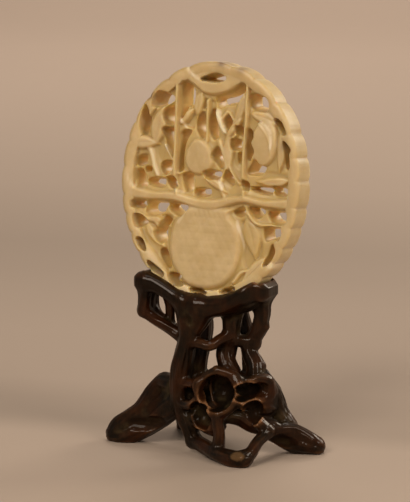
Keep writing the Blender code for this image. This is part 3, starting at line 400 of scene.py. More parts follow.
# Tones laid over the jade, one after the other: the value they follow, its strength and the colour
JADE_TONES = [
    # The rim's outer edge: partly the stone's brown rind, partly painted shade on the rim's left and top
    ("edge", 0.6, (0.30, 0.19, 0.075)),
    # Thin parts: painted shade, where light passes through thin stone instead of scattering back
    ("thin", 0.5, (0.52, 0.37, 0.165)),
    # The sunken ground: painted shade
    ("ground", 0.85, (0.545, 0.378, 0.137)),
    # Walls deep in the cuts: painted glow of light scattered through the stone
    ("deep", 0.9, (0.84, 0.64, 0.278)),
    # Inner corners: painted shade
    ("cavity", 0.2, (0.50, 0.36, 0.12)),
    # Small facets: painted highlights
    ("painted_highlight", 0.7, (0.88, 0.76, 0.57)),
    ("stain_and_shadow", 0.9, (0.10, 0.035, 0.012)),
]
JADE_SHADER = {
    "Subsurface Weight": 0.9, "Subsurface Radius": (1.0, 0.86, 0.5), "Subsurface Scale": 0.0026,
    "IOR": 1.61, "Specular IOR Level": 0.4, "Coat Weight": 0.05, "Coat Roughness": 0.15,
}
WOOD_BLACK = (0.003, 0.0025, 0.0015)
WOOD_SHADER = {
    "IOR": 1.5, "Specular IOR Level": 0.12, "Specular Tint": (1.0, 0.5, 0.25, 1),
    "Coat Roughness": 0.07, "Coat Tint": (1.0, 0.78, 0.56, 1),
}
PAPER_SHADER = {"Roughness": 0.85, "Specular IOR Level": 0.2}

# Square lights: azimuth as the camera's, elevation, distance and size in metres, power and colour
LIGHTS = {
    "key": (-3, 35, 0.9, 0.4, 4.7, (1.0, 0.92, 0.80)),
    "top": (20, 76, 0.8, 0.2, 0.4, (1.0, 0.93, 0.84)),
    "side": (72, 28, 0.9, 0.3, 2.9, (1.0, 0.91, 0.78)),
    "back": (148, 24, 0.9, 0.3, 3.0, (1.0, 0.92, 0.78)),
    "far": (204, 45, 1.6, 0.8, 16.0, (1.0, 0.93, 0.84)),
}

# The far light is aimed at the paper behind, the others at the object
FAR_TARGET = (-0.6, 1.4, 0.0)


def curve_between(before, start, end, after, steps):
    """Points of a Catmull-Rom curve from its start to just before its end."""
    return [0.5 * (2 * start + (end - before) * t
                   + (2 * before - 5 * start + 4 * end - after) * t ** 2
                   + (3 * start - before - 3 * end + after) * t ** 3)
            for t in (step / steps for step in range(steps))]


def smooth_loop(points, steps):
    """A closed smooth loop through the points, with the given steps between two of them."""
    knots = [np.array(p, float) for p in points]
    loop = []
    for i in range(len(knots)):
        loop += curve_between(*(knots[(i + k) % len(knots)] for k in (-1, 0, 1, 2)), steps)
    return np.array(loop)


def smooth_path(points, steps):
    """An open smooth path through points of any size, ends included."""
    knots = [np.array(p, float) for p in points]
    knots = [2 * knots[0] - knots[1]] + knots + [2 * knots[-1] - knots[-2]]
    path = []
    for i in range(1, len(knots) - 2):
        path += curve_between(*knots[i - 1:i + 3], steps)
    path.append(knots[-2])
    return np.array(path)


def smoothstep(low, high, value):
    """0 below low, 1 above high, with an easy start and end between."""
    t = np.clip((value - low) / (high - low), 0, 1)
    return t * t * (3 - 2 * t)


def loop_distance(loop, x, y):
    """Distance from a closed outline, negative inside it."""
    nearest = np.full(x.shape, 1e9)
    inside = np.zeros(x.shape, bool)
    for start, end in zip(loop, np.roll(loop, -1, axis=0)):
        run = end - start
        length = run @ run
        if length < 1e-12:
            continue
        dx, dy = x - start[0], y - start[1]
        t = np.clip((dx * run[0] + dy * run[1]) / length, 0, 1)
        np.minimum(nearest, (dx - t * run[0]) ** 2 + (dy - t * run[1]) ** 2, out=nearest)
        if start[1] != end[1]:
            crossed = (start[1] > y) != (end[1] > y)
            inside ^= crossed & (x < start[0] + (y - start[1]) * run[0] / run[1])
    return np.where(inside, -1, 1) * np.sqrt(nearest)


def path_distance(path, x, y):
    """Distance from a line, and how far along it the nearest point lies (0 to 1)."""
    nearest = np.full(x.shape, 1e9)
    along = np.zeros(x.shape)
    count = len(path) - 1
    for i in range(count):
        start, run = path[i], path[i + 1] - path[i]
        dx, dy = x - start[0], y - start[1]
        t = np.clip((dx * run[0] + dy * run[1]) / max(run @ run, 1e-12), 0, 1)
        gap = (dx - t * run[0]) ** 2 + (dy - t * run[1]) ** 2
        closer = gap < nearest
        nearest[closer] = gap[closer]
        along[closer] = ((i + t) / count)[closer]
    return np.sqrt(nearest), along


def oval(half_width, half_height, count):
    """A plain oval outline."""
    turn = np.arange(count) * 2 * math.pi / count
    return np.stack([half_width * np.sin(turn), half_height * np.cos(turn)], 1)


def lobe_angles():
    """The notches' turns round the rim, in degrees."""
    return [-a for a in reversed(NOTCHES_LEFT)] + list(NOTCHES_RIGHT)


def lobed_oval(steps):
    """The rim's outline: an oval whose edge swells between the notches."""
    angles = lobe_angles()
    outline = []
    for i, start in enumerate(angles):
        end = angles[(i + 1) % len(angles)]
        if end < start:
            end += 360
        for step in range(steps):
            share = step / steps
            turn = math.radians(start + share * (end - start))
            inset = LOBE_DEPTH * abs(2 * share - 1) ** LOBE_POWER
            outline.append(((GRID_WIDE / 2 - inset) * math.sin(turn),
                            (PLAQUE_HEIGHT / 2 - inset) * math.cos(turn)))
    return np.array(outline)


def ribbon(path, steps):
    """Outline of a band whose half width changes along its middle line (x, y, half width)."""
    line = smooth_path(path, steps)
    run = np.gradient(line[:, :2], axis=0)
    run /= np.linalg.norm(run, axis=1)[:, None]
    side = np.stack([-run[:, 1], run[:, 0]], 1) * line[:, 2:]
    return np.concatenate([line[:, :2] + side, (line[:, :2] - side)[::-1]])


def leaf_lines(foot, tip, width, bend, steps):
    """A pointed leaf's outline and its midrib."""
    foot, tip = np.array(foot, float), np.array(tip, float)
    along = tip - foot
    across = np.array([-along[1], along[0]]) / np.linalg.norm(along)
    share = np.linspace(0, 1, steps + 1)[:, None]
    rib = foot + along * share + across * bend * np.sin(math.pi * share)
    half = across * width / 2 * np.sin(math.pi * share ** LEAF_FULLNESS)
    return np.concatenate([rib + half, (rib - half)[-2:0:-1]]), rib


def fruit_outline(centre, half, turn, count):
    """A rounded fruit, slightly pointed at its top."""
    turn = math.radians(turn)
    angle = np.arange(count) * 2 * math.pi / count
    x = half[0] * np.sin(angle) * (1 - FRUIT_POINT * np.cos(angle))
    y = half[1] * np.cos(angle)
    return np.stack([centre[0] + x * math.cos(turn) + y * math.sin(turn),
                     centre[1] - x * math.sin(turn) + y * math.cos(turn)], 1)


def basket_outline():
    """The basket's body, mirrored about its middle line."""
    right = [(BASKET_CENTRE + half, height) for half, height in BASKET_SIDE]
    left = [(BASKET_CENTRE - half, height) for half, height in reversed(BASKET_SIDE)]
    bottom = [(BASKET_CENTRE, BASKET_SIDE[-1][1] - BASKET_SAG)]
    return smooth_loop(right + bottom + left, 6)


class Relief:
    """The plaque's front seen square on: how far its surface lies below the rim's face at each point."""

    def __init__(self):
        half_wide, half_tall = GRID_WIDE / 2, PLAQUE_HEIGHT / 2
        self.a = np.arange(-half_wide - PLAQUE_MARGIN, half_wide + PLAQUE_MARGIN, PLAQUE_STEP)
        self.b = np.arange(-half_tall - PLAQUE_MARGIN, half_tall + PLAQUE_MARGIN, PLAQUE_STEP) - GRID_RISE
        self.x, self.y = np.meshgrid(self.a, self.b, indexing="ij")
        self.drop = np.full(self.x.shape, FIELD_DROP)
        self.wall = np.full(self.x.shape, 9.0)
        self.narrow = np.zeros(self.x.shape)

    def window(self, points, margin):
        """The part of the grid round some points, and its coordinates."""
        low, high = np.min(points, axis=0)[:2] - margin, np.max(points, axis=0)[:2] + margin
        place = (slice(*np.searchsorted(self.a, (low[0], high[0]))),
                 slice(*np.searchsorted(self.b, (low[1], high[1]))))
        return place, self.x[place], self.y[place]

    def raise_shape(self, points, level, edge, crown=0.0, reach=2.0, carve=None):
        """Raises the inside of an outline to its level, rounded down over its edge."""
        place, x, y = self.window(points, 0.5)
        inside = -loop_distance(points, x, y)
        fall = np.clip(1 - inside / edge, 0, 1)
        drop = level + (FIELD_DROP - level) * fall ** 2 - crown * np.clip(inside / reach, 0, 1) ** 0.8
        if carve is not None:
            drop = drop + carve(x, y, inside)
        ground = self.drop[place]
        self.drop[place] = np.where(inside > 0, np.minimum(ground, drop), ground)

    def raise_stem(self, path, half, level, taper=0.75):
        """Raises a half-round stem along a path."""
        line = smooth_path(path, 6)
        place, x, y = self.window(line, half + 0.3)
        gap, along = path_distance(line, x, y)
        width = half * (1 - (1 - taper) * along)
        share = np.clip(gap / width, 0, 1)
        drop = level + width * 1.25 * (1 - np.sqrt(1 - share ** 2))
        self.drop[place] = np.where(gap < width, np.minimum(self.drop[place], drop), self.drop[place])

    def groove(self, path, half, depth):
        """Cuts a fine line into whatever is there."""
        line = smooth_path(path, 5)
        place, x, y = self.window(line, half + 0.2)
        gap, _ = path_distance(line, x, y)
        self.drop[place] += depth * np.clip(1 - gap / half, 0, 1) ** 1.5

    def sink(self, points, depth, edge=0.7):
        """Lowers the ground inside an outline to a pocket's floor."""
        place, x, y = self.window(points, 0.5)
        share = smoothstep(0, edge, -loop_distance(points, x, y))
        self.drop[place] = np.maximum(self.drop[place], FIELD_DROP + (depth - FIELD_DROP) * share)

    def pierce(self, points):
        """Cuts an opening right through, narrower towards the back."""
        place, x, y = self.window(points, 3.0)
        gap = loop_distance(points, x, y)
        nearer = gap < self.wall[place]
        self.wall[place] = np.where(nearer, gap, self.wall[place])
        self.narrow[place] = np.where(nearer, BACK_NARROWING * max(-gap.min(), 0), self.narrow[place])

    def soften(self, rounds):
        """Wears all edges down a little, like old polish."""
        for _ in range(rounds):
            wide = np.pad(self.drop, 1, mode="edge")
            beside = wide[:-2, 1:-1] + wide[2:, 1:-1] + wide[1:-1, :-2] + wide[1:-1, 2:]
            self.drop = (beside + 2 * self.drop) / 6


def carve_rim(relief):
    """The lobed rim: a rounded band, nicked between its lobes."""
    outer = lobed_oval(8)
    outer[:, 1] -= GRID_RISE
    inner = oval(GRID_WIDE / 2 - RIM_WIDTH, PLAQUE_HEIGHT / 2 - RIM_WIDTH, 120)
    inner[:, 1] -= GRID_RISE
    from_edge = -loop_distance(outer, relief.x, relief.y)
    from_hole = loop_distance(inner, relief.x, relief.y)
    band = 0.35 * np.clip(1 - from_edge / 1.1, 0, 1) ** 2 + 0.45 * np.clip(1 - from_hole / 2.0, 0, 1) ** 2
    relief.drop = np.where(from_hole > 0, np.minimum(relief.drop, band), relief.drop)
    reach = np.array([GRID_WIDE / 2, PLAQUE_HEIGHT / 2])
    for angle in lobe_angles():
        turn = math.radians(angle)
        way = np.array([math.sin(turn), math.cos(turn)])
        start = way * (reach - 0.2) - (0, GRID_RISE)
        end = way * (reach - RIM_WIDTH / 2) - (0, GRID_RISE)
        relief.groove([start, (start + end) / 2, end], 0.35, 0.06)
    return from_edge


def weave(x, y, inside):
    """The basket's woven lines: level rows crossed by two slanting families, and a plaited neck."""
    turn = math.radians(60)
    lines = []
    for angle, shift in ((0, 0.0), (turn, 0.3), (-turn, 0.7)):
        across = (y * math.cos(angle) - x * math.sin(angle)) / WEAVE_PITCH + shift
        lines.append(1 - smoothstep(0.04, 0.14, np.abs(across - np.round(across))))
    depth = WEAVE_DEPTH * (lines[0] + lines[1] + lines[2]) / 1.5
    body = smoothstep(0.5, 1.2, inside) * smoothstep(-9.2, -9.9, y)
    neck = smoothstep(-6.6, -7.4, y) * smoothstep(-9.6, -9.2, y) * smoothstep(0.4, 0.9, inside)
    plait = 0.05 * (0.5 + 0.5 * np.cos((x * 1.0 + y * 0.5) * 4.6)) + 0.04 * (np.abs(y + 8.3) > 0.85)
    return depth * body + plait * neck


def carve_leaves(relief):
    """Leaves with a midrib and side veins."""
    for foot, tip, width, bend, level in LEAVES:
        points, rib = leaf_lines(foot, tip, width, bend, 14)
        relief.raise_shape(points, level, 0.6, crown=0.12, reach=width / 2)
        relief.groove(rib[1:-1:2], 0.35, 0.16)
        for i in range(3, len(rib) - 3, 3):
            forward = rib[i + 2] - rib[i]
            side = np.array([-forward[1], forward[0]])
            for sign in (1, -1):
                end = rib[i] + forward * 0.7 + sign * side * width * 0.22
                relief.groove([rib[i], (rib[i] + end) / 2 + forward * 0.1, end], 0.25, 0.07)


def carve_fruit(relief):
    """The two peaches, the middle one with its cleft and the right one with a raised ridge."""
    for centre, half, turn, level in FRUIT.values():
        points = fruit_outline(centre, half, turn, 40)
        relief.raise_shape(points, level + 0.35, 0.8, crown=0.35, reach=min(half))
    relief.groove([(-1.2, 9.8), (-0.6, 7.4), (-1.4, 4.4)], 0.4, 0.15)
    relief.raise_stem([(13, 14.8), (15.2, 12.2), (16.4, 9.4), (16.6, 7.4)], 0.36, 0.12)


def carve_front():
    """Puts the whole front together."""
    relief = Relief()
    for depth, points in POCKETS:
        relief.sink(smooth_loop(points, 5), depth)
    carve_leaves(relief)
    for path, half, level in STEMS.values():
        relief.raise_stem(path, half, level)
    carve_fruit(relief)
    relief.raise_shape(ribbon(BASKET_LIP, 6), LIP_LEVEL, 0.7, crown=0.06, reach=1.2)
    relief.raise_shape(smooth_loop(BAIL, 6), LIP_LEVEL, 0.7, crown=0.08, reach=2.0)
    relief.raise_shape(basket_outline(), BASKET_LEVEL, 1.3, crown=0.45, reach=9.0, carve=weave)
    relief.groove([(-6.2, -7.3), (0, -7.8), (6, -7)], 0.35, 0.06)
    relief.raise_stem([(-5.6, 26.2), (-6.6, 27.4), (-7.4, 28)], 0.5, -0.02)
    for path, half, level in (STEMS["bar_left"], STEMS["bar_right"]):
        relief.raise_stem(path, half, level, taper=1.0)
    relief.soften(3)
    edge = carve_rim(relief)
    for points in OPENINGS:
        relief.pierce(smooth_loop(points, 5))
    return relief, edge


def round_meet(first, second, radius):
    """Where two solids overlap, with the edge between them rounded."""
    p, q = first + radius, second + radius
    return np.minimum(np.maximum(p, q), 0) + np.sqrt(np.maximum(p, 0) ** 2 + np.maximum(q, 0) ** 2) - radius


def polygonise(field, cell):
    """Points (in cells) and triangles of the surface where the field is zero."""
    grid = openvdb.FloatGrid(3 * cell)
    grid.copyFromArray(np.clip(field, -3 * cell, 3 * cell).astype(np.float32))
    points, quads = grid.convertToQuads(isovalue=0.0)
    return points, quads[:, ::-1].astype(np.int64)


def largest_body(points, quads):
    """Keeps only the largest connected piece."""
    label = np.arange(len(points))
    while True:
        low = label[quads].min(axis=1)
        new = label.copy()
        np.minimum.at(new, quads.ravel(), np.repeat(low, 4))
        new = new[new]
        if np.array_equal(new, label):
            break
        label = new
    names, counts = np.unique(label, return_counts=True)
    keep = label == names[counts.argmax()]
    index = np.cumsum(keep) - 1
    return points[keep], index[quads[keep[quads[:, 0]]]]


def blur(field, cells):
    """A box blur along all three axes."""
    for axis in range(3):
        total = np.cumsum(field, axis=axis, dtype=np.float64)
        place = np.arange(field.shape[axis])
        ahead, behind = (np.take(total, np.clip(place + shift, 0, len(place) - 1), axis=axis)
                         for shift in (cells, -cells - 1))
        field = ((ahead - behind) / (2 * cells + 1)).astype(np.float32)
    return field


def sample(field, cells):
    """Reads a field at points given in cells, blended between its corners."""
    low = np.floor(cells).astype(int)
    low = np.clip(low, 0, np.array(field.shape) - 2)
    share = np.clip(cells - low, 0, 1)
    result = np.zeros(len(cells), np.float32)
    for corner in range(8):
        bits = np.array([corner >> 2 & 1, corner >> 1 & 1, corner & 1])
        weight = np.prod(np.where(bits, share, 1 - share), axis=1)
        i, j, k = (low + bits).T
        result += weight.astype(np.float32) * field[i, j, k]
    return result


def add_object(name, data):
    """A new object in the scene."""
    item = bpy.data.objects.new(name, data)
    bpy.context.scene.collection.objects.link(item)
    return item


def make_mesh(name, points, quads, most):
    """A mesh object in metres, thinned until it has no more triangles than allowed."""
    mesh = bpy.data.meshes.new(name)
    mesh.from_pydata((points * MM).tolist(), [], quads.tolist())
    mesh.update()
    piece = add_object(name, mesh)
    triangles = 2 * len(quads)
    if triangles > most:
        thin = piece.modifiers.new("Thin", "DECIMATE")
        thin.ratio = most / triangles
        baked = bpy.data.meshes.new_from_object(piece.evaluated_get(bpy.context.evaluated_depsgraph_get()))
        piece.modifiers.clear()
        piece.data = baked
        bpy.data.meshes.remove(mesh)
    piece.data.shade_smooth()
    return piece


def corners(piece):
    """The piece's points in millimetres."""
    places = np.zeros(3 * len(piece.data.vertices), np.float32)
    piece.data.vertices.foreach_get("co", places)
    return places.reshape(-1, 3) / MM


def add_value(piece, name, values):
    """Stores one number at each point for the material to read."""
    layer = piece.data.attributes.new(name, "FLOAT", "POINT")
    layer.data.foreach_set("value", np.clip(values, 0, 1).astype(np.float32))


def plaque_to_world(places):
    """From the plaque's own axes (across, depth below its face, up) to where it stands."""
    across, depth, up = places.T
    y = depth - PLAQUE_THICKNESS / 2
    z = up + GRID_RISE + PLAQUE_HEIGHT / 2
    return np.stack([across, y * LEAN_COS + z * LEAN_SIN - SADDLE_OFFSET,
                     z * LEAN_COS - y * LEAN_SIN + PLAQUE_FOOT], 1)


def world_to_plaque(y, z):
    """Depth below the plaque's face and height on it, of a place in the stand's axes."""
    y = y + SADDLE_OFFSET
    z = z - PLAQUE_FOOT
    return (y * LEAN_COS - z * LEAN_SIN + PLAQUE_THICKNESS / 2,
            y * LEAN_SIN + z * LEAN_COS - PLAQUE_HEIGHT / 2 - GRID_RISE)


def plaque_field(relief, from_edge, depth):
    """How far each point lies outside the plaque, from its front, its back and its cuts."""
    share = np.clip((depth - GROUND_DROP) / (PLAQUE_THICKNESS - GROUND_DROP), 0, 1)
    shrink = relief.narrow[:, :, None] * share
    shrink = shrink - FRONT_FLARE * np.clip(1 - depth / FLARE_DEPTH, 0, 1)
    cut = np.maximum(-from_edge[:, :, None], -relief.wall[:, :, None] - shrink)
    hidden = np.clip(relief.drop / GROUND_DROP, 0, 1)
    bevel, bevel_width = BACK_BEVEL
    back = PLAQUE_THICKNESS - BACK_INSET * hidden - bevel * np.clip(1 - from_edge / bevel_width, 0, 1) ** 2
    slope = np.gradient(relief.drop, PLAQUE_STEP)
    steep = np.sqrt(1 + np.minimum(slope[0] ** 2 + slope[1] ** 2, 9))
    front_gap = (relief.drop[:, :, None] - depth) / steep[:, :, None]
    back_gap = depth - back[:, :, None]
    return round_meet(round_meet(front_gap, cut, EDGE_ROUNDING), back_gap, EDGE_ROUNDING)


def build_plaque():
    """The jade plaque as one fine mesh, with the values that its material follows."""
    relief, from_edge = carve_front()
    depth = np.arange(-PLAQUE_MARGIN, PLAQUE_THICKNESS + PLAQUE_MARGIN, PLAQUE_STEP_DEEP)
    field = plaque_field(relief, from_edge, depth)
    points, quads = largest_body(*polygonise(field, PLAQUE_STEP))
    solid = blur((field < 0).astype(np.float32), 5)
    wide = PLAQUE_WIDTH / GRID_WIDE
    scale = np.array([PLAQUE_STEP * wide, PLAQUE_STEP, PLAQUE_STEP_DEEP])
    start = np.array([relief.a[0] * wide, relief.b[0], depth[0]])
    flat = points * scale + start
    piece = make_mesh("jade_plaque_carving", plaque_to_world(flat[:, [0, 2, 1]]), quads, MOST_TRIANGLES)
    across, y, z = corners(piece).T
    below, up = world_to_plaque(y, z)
    cells = (np.stack([across, up, below], 1) - start) / scale
    from_rim = sample(np.repeat(from_edge[:, :, None], 2, axis=2), cells * (1, 1, 0))
    inner = smoothstep(*FIELD_INSIDE, from_rim) * smoothstep(*NEAR_BACK, below)
    # Darker brown along the rim's outer edge, fading out towards the right: partly the stone's brown rind,
    # partly painted shade on the rim's left and top
    rim_rind_and_shade = smoothstep(1.1, 0.1, from_rim) * smoothstep(2.4, 0.8, below) * smoothstep(16.0, 2.0, across)
    add_value(piece, "edge", rim_rind_and_shade)
    # Painted shade on the sunken ground between the raised carving
    add_value(piece, "ground", smoothstep(*GROUND_BELOW, below) * inner)
    # Painted glow of light through the stone on the walls deep in the cuts
    add_value(piece, "deep", smoothstep(*DEEP_BELOW, below) * inner)
    # Painted shade in inner corners
    add_value(piece, "cavity", smoothstep(0.42, 0.85, sample(solid, cells)))
    # Painted shade on thin parts, where light passes through instead of scattering back
    add_value(piece, "thin", smoothstep(0.44, 0.2, sample(blur(solid, 10), cells)))
    # Brown stains in the stone, and one painted shadow in the bail's eye
    stain_and_shadow = np.zeros(len(below))
    for a, b, c, reach, strength in STAINS_AND_SHADOW:
        gap = ((across - a) ** 2 + (up - b) ** 2 + 0.3 * (below - c) ** 2) / reach ** 2
        stain_and_shadow = np.maximum(stain_and_shadow, strength * np.exp(-gap))
    add_value(piece, "stain_and_shadow", stain_and_shadow)
    # Painted highlights on small facets, on the front only
    painted_highlight = np.zeros(len(below))
    for path, half, strength in PAINTED_HIGHLIGHTS:
        gap, _ = path_distance(smooth_path(path, 4), across / wide, up)
        painted_highlight = np.maximum(painted_highlight, strength * smoothstep(half, 0.3 * half, gap))
    add_value(piece, "painted_highlight", painted_highlight * smoothstep(*HIGHLIGHT_BELOW, below))
    return piece


def saddle_outline():
    """The saddle seen from the front: it dips to carry the plaque and rises to two rounded tips."""
    line = smooth_path(SADDLE_PROFILE, 4)
    x = line[:, 0] * SADDLE_LENGTH / 2
    top = SADDLE_RISE + line[:, 1]
    return np.concatenate([np.stack([x, top], 1), np.stack([x, top - line[:, 2] * SADDLE_HEIGHT], 1)[::-1]])


def blend_in(field, place, shape, radius):
    """Joins a shape to the field, with a soft hollow where they meet."""
    old = field[place]
    share = np.clip(0.5 + 0.5 * (old - shape) / radius, 0, 1)
    field[place] = old * (1 - share) + shape * share - radius * share * (1 - share)


def cells_between(axes, low, high):
    """The field's cells between two corners, and their places along the three axes."""
    place = tuple(slice(*np.searchsorted(axis, (low[i], high[i]))) for i, axis in enumerate(axes))
    lines = [axis[place[i]].reshape([-1 if j == i else 1 for j in range(3)]) for i, axis in enumerate(axes)]
    return place, lines


def add_branch(field, axes, path, seed):
    """Joins one branch: a chain of tapering lengths, ribbed along like old root wood."""
    line = smooth_path(path, 4)
    rng = np.random.default_rng(seed)
    ribs = rng.integers(5, 8)
    phase = rng.uniform(0, 2 * math.pi)
    twist = rng.uniform(-0.12, 0.12)
    side = np.array([0.31, 0.83, 0.46])
    travelled = 0.0
    margin = 1.6
    low = line[:, :3].min(axis=0) - line[:, 3].max() - margin
    high = line[:, :3].max(axis=0) + line[:, 3].max() + margin
    place, (x, y, z) = cells_between(axes, low, high)
    shape = None
    for start, end in zip(line[:-1], line[1:]):
        run = end[:3] - start[:3]
        length = np.linalg.norm(run)
        if length < 1e-6:
            continue
        way = run / length
        side = side - way * (side @ way)
        side /= np.linalg.norm(side)
        other = np.cross(way, side)
        dx, dy, dz = x - start[0], y - start[1], z - start[2]
        t = np.clip((dx * way[0] + dy * way[1] + dz * way[2]) / length, 0, 1)
        px, py, pz = dx - t * run[0], dy - t * run[1], dz - t * run[2]
        gap = np.sqrt(px ** 2 + py ** 2 + pz ** 2)
        u = px * side[0] + py * side[1] + pz * side[2]
        v = px * other[0] + py * other[1] + pz * other[2]
        turn = np.arctan2(v, u)
        radius = start[3] + t * (end[3] - start[3])
        far = travelled + t * length
        rib = np.cos(ribs * turn + phase + twist * ribs * far)
        rib = rib + 0.5 * np.cos((ribs * 2 + 1) * turn - phase - 0.8 * twist * ribs * far)
        part = gap - radius * (1 + RIB_HEIGHT * rib)
        shape = part if shape is None else np.minimum(shape, part)
        travelled += length
    blend_in(field, place, shape.astype(np.float32), BRANCH_BLEND)


def scoop(field, axes, centre, half):
    """Hollows out an egg-shaped space."""
    reach = np.array(half) + 1.5
    place, lines = cells_between(axes, centre - reach, centre + reach)
    x, y, z = (line - middle for line, middle in zip(lines, centre))
    share = np.sqrt((x / half[0]) ** 2 + (y / half[1]) ** 2 + (z / half[2]) ** 2)
    egg = (share - 1) * min(half)
    old = field[place]
    blend = np.clip(0.5 - 0.5 * (old + egg) / HOLLOW_BLEND, 0, 1)
    field[place] = old * (1 - blend) - egg * blend + HOLLOW_BLEND * blend * (1 - blend)


def stand_field(axes):
    """How far each point lies outside the stand, before its groove is cut."""
    field = np.full([len(axis) for axis in axes], FAR_OFF, np.float32)
    for seed, path in enumerate(BRANCHES):
        add_branch(field, axes, path, seed)
    x, z = np.meshgrid(axes[0], axes[2], indexing="ij")
    crescent = loop_distance(saddle_outline(), x, z)[:, None, :]
    depth = PLAQUE_THICKNESS + 2 * LIP_WIDTH
    forward = -(axes[1] + SADDLE_OFFSET)[None, :, None]
    turned = TIP_TURN * smoothstep(*TIP_REACH, axes[0])[:, None, None]
    across = np.maximum(forward + turned, -forward + TIP_BACK_SHARE * turned) - depth / 2
    saddle = round_meet(crescent, across, SADDLE_ROUNDING).astype(np.float32)
    blend_in(field, (slice(None),) * 3, saddle, SADDLE_BLEND)
    for centre, half in HOLLOWS.values():
        scoop(field, axes, centre, half)
    return round_meet(field, np.broadcast_to(-axes[2][None, None, :], field.shape), FOOT_ROUNDING)


def real_places(field, axes):
    """The places along x and y, spread so that the stand has its full length and depth."""
    solid = field < 0
    places = []
    for axis, size in ((0, STAND_LENGTH), (1, STAND_DEPTH)):
        filled = np.flatnonzero(solid.any(axis=tuple(i for i in range(3) if i != axis)))
        low, high = axes[axis][filled[0]] - STAND_STEP / 2, axes[axis][filled[-1]] + STAND_STEP / 2
        places.append(size * ((axes[axis] - low) / (high - low) - 0.5))
    return places


def groove_field(real_x, real_y, z):
    """How far each point lies outside the plaque's place in the stand, with the gap of its fit."""
    below, up = world_to_plaque(real_y[:, None], z[None, :])
    flat_x, flat_up = np.meshgrid(real_x, np.arange(*GROOVE_ROWS, STAND_STEP), indexing="ij")
    hole = oval(PLAQUE_WIDTH / 2 + FIT_GAP, PLAQUE_HEIGHT / 2 + FIT_GAP, 160) - (0, GRID_RISE)
    lying = loop_distance(hole, flat_x, flat_up)
    index = (up - GROOVE_ROWS[0]) / STAND_STEP
    inside = (index >= 0) & (index < flat_up.shape[1] - 1)
    row = np.clip(np.floor(index).astype(int), 0, flat_up.shape[1] - 2)
    share = np.clip(index - row, 0, 1)
    oval_gap = lying[:, row] * (1 - share) + lying[:, row + 1] * share
    oval_gap = np.where(inside[None], oval_gap, np.where(up[None] < -30, FAR_OFF, -FAR_OFF))
    slab_gap = np.abs(below - PLAQUE_THICKNESS / 2) - PLAQUE_THICKNESS / 2 - FIT_GAP
    return np.maximum(oval_gap, slab_gap[None]).astype(np.float32)


def build_stand():
    """The wooden stand as one fine mesh, with the values that its material follows."""
    axes = [np.arange(low, high, STAND_STEP) for low, high in STAND_SPACE]
    field = stand_field(axes)
    real_x, real_y = real_places(field, axes)
    field = np.maximum(field, -groove_field(real_x, real_y, axes[2]))
    points, quads = largest_body(*polygonise(field, STAND_STEP))
    solid = (field < 0).astype(np.float32)
    places = np.stack([np.interp(points[:, 0], np.arange(len(real_x)), real_x),
                       np.interp(points[:, 1], np.arange(len(real_y)), real_y),
                       points[:, 2] * STAND_STEP + axes[2][0]], 1)
    piece = make_mesh("wood_stand_carving", places, quads, MOST_TRIANGLES)
    spots = corners(piece)
    cells = np.stack([np.interp(spots[:, 0], real_x, np.arange(len(real_x))),
                      np.interp(spots[:, 1], real_y, np.arange(len(real_y))),
                      (spots[:, 2] - axes[2][0]) / STAND_STEP], 1)
    # Convex edges: the wood's own wear, and on the sharpest ridges painted highlights
    add_value(piece, "wear_and_glint", smoothstep(0.44, 0.2, sample(blur(solid, 4), cells)))
    # How enclosed each point is: used for painted shade in hollows, their dust and their duller finish
    add_value(piece, "hollow", smoothstep(0.3, 0.75, sample(blur(solid, 10), cells)))
    x, y, z = (axes[i][0] + cells[:, i] * STAND_STEP for i in range(3))
    centre, half_width, half_height = KNOT
    from_knot = np.hypot((x - centre[0]) / half_width, (z - centre[2]) / half_height)
    behind = np.abs(y - centre[1])
    add_value(piece, "knot", smoothstep(KNOT_RIM, 0.8, from_knot) * smoothstep(3.0, 2.0, behind))
    add_value(piece, "knot_rim", smoothstep(0.35, 0.1, np.abs(from_knot - KNOT_RIM)) * (behind < 2.5))
    return piece


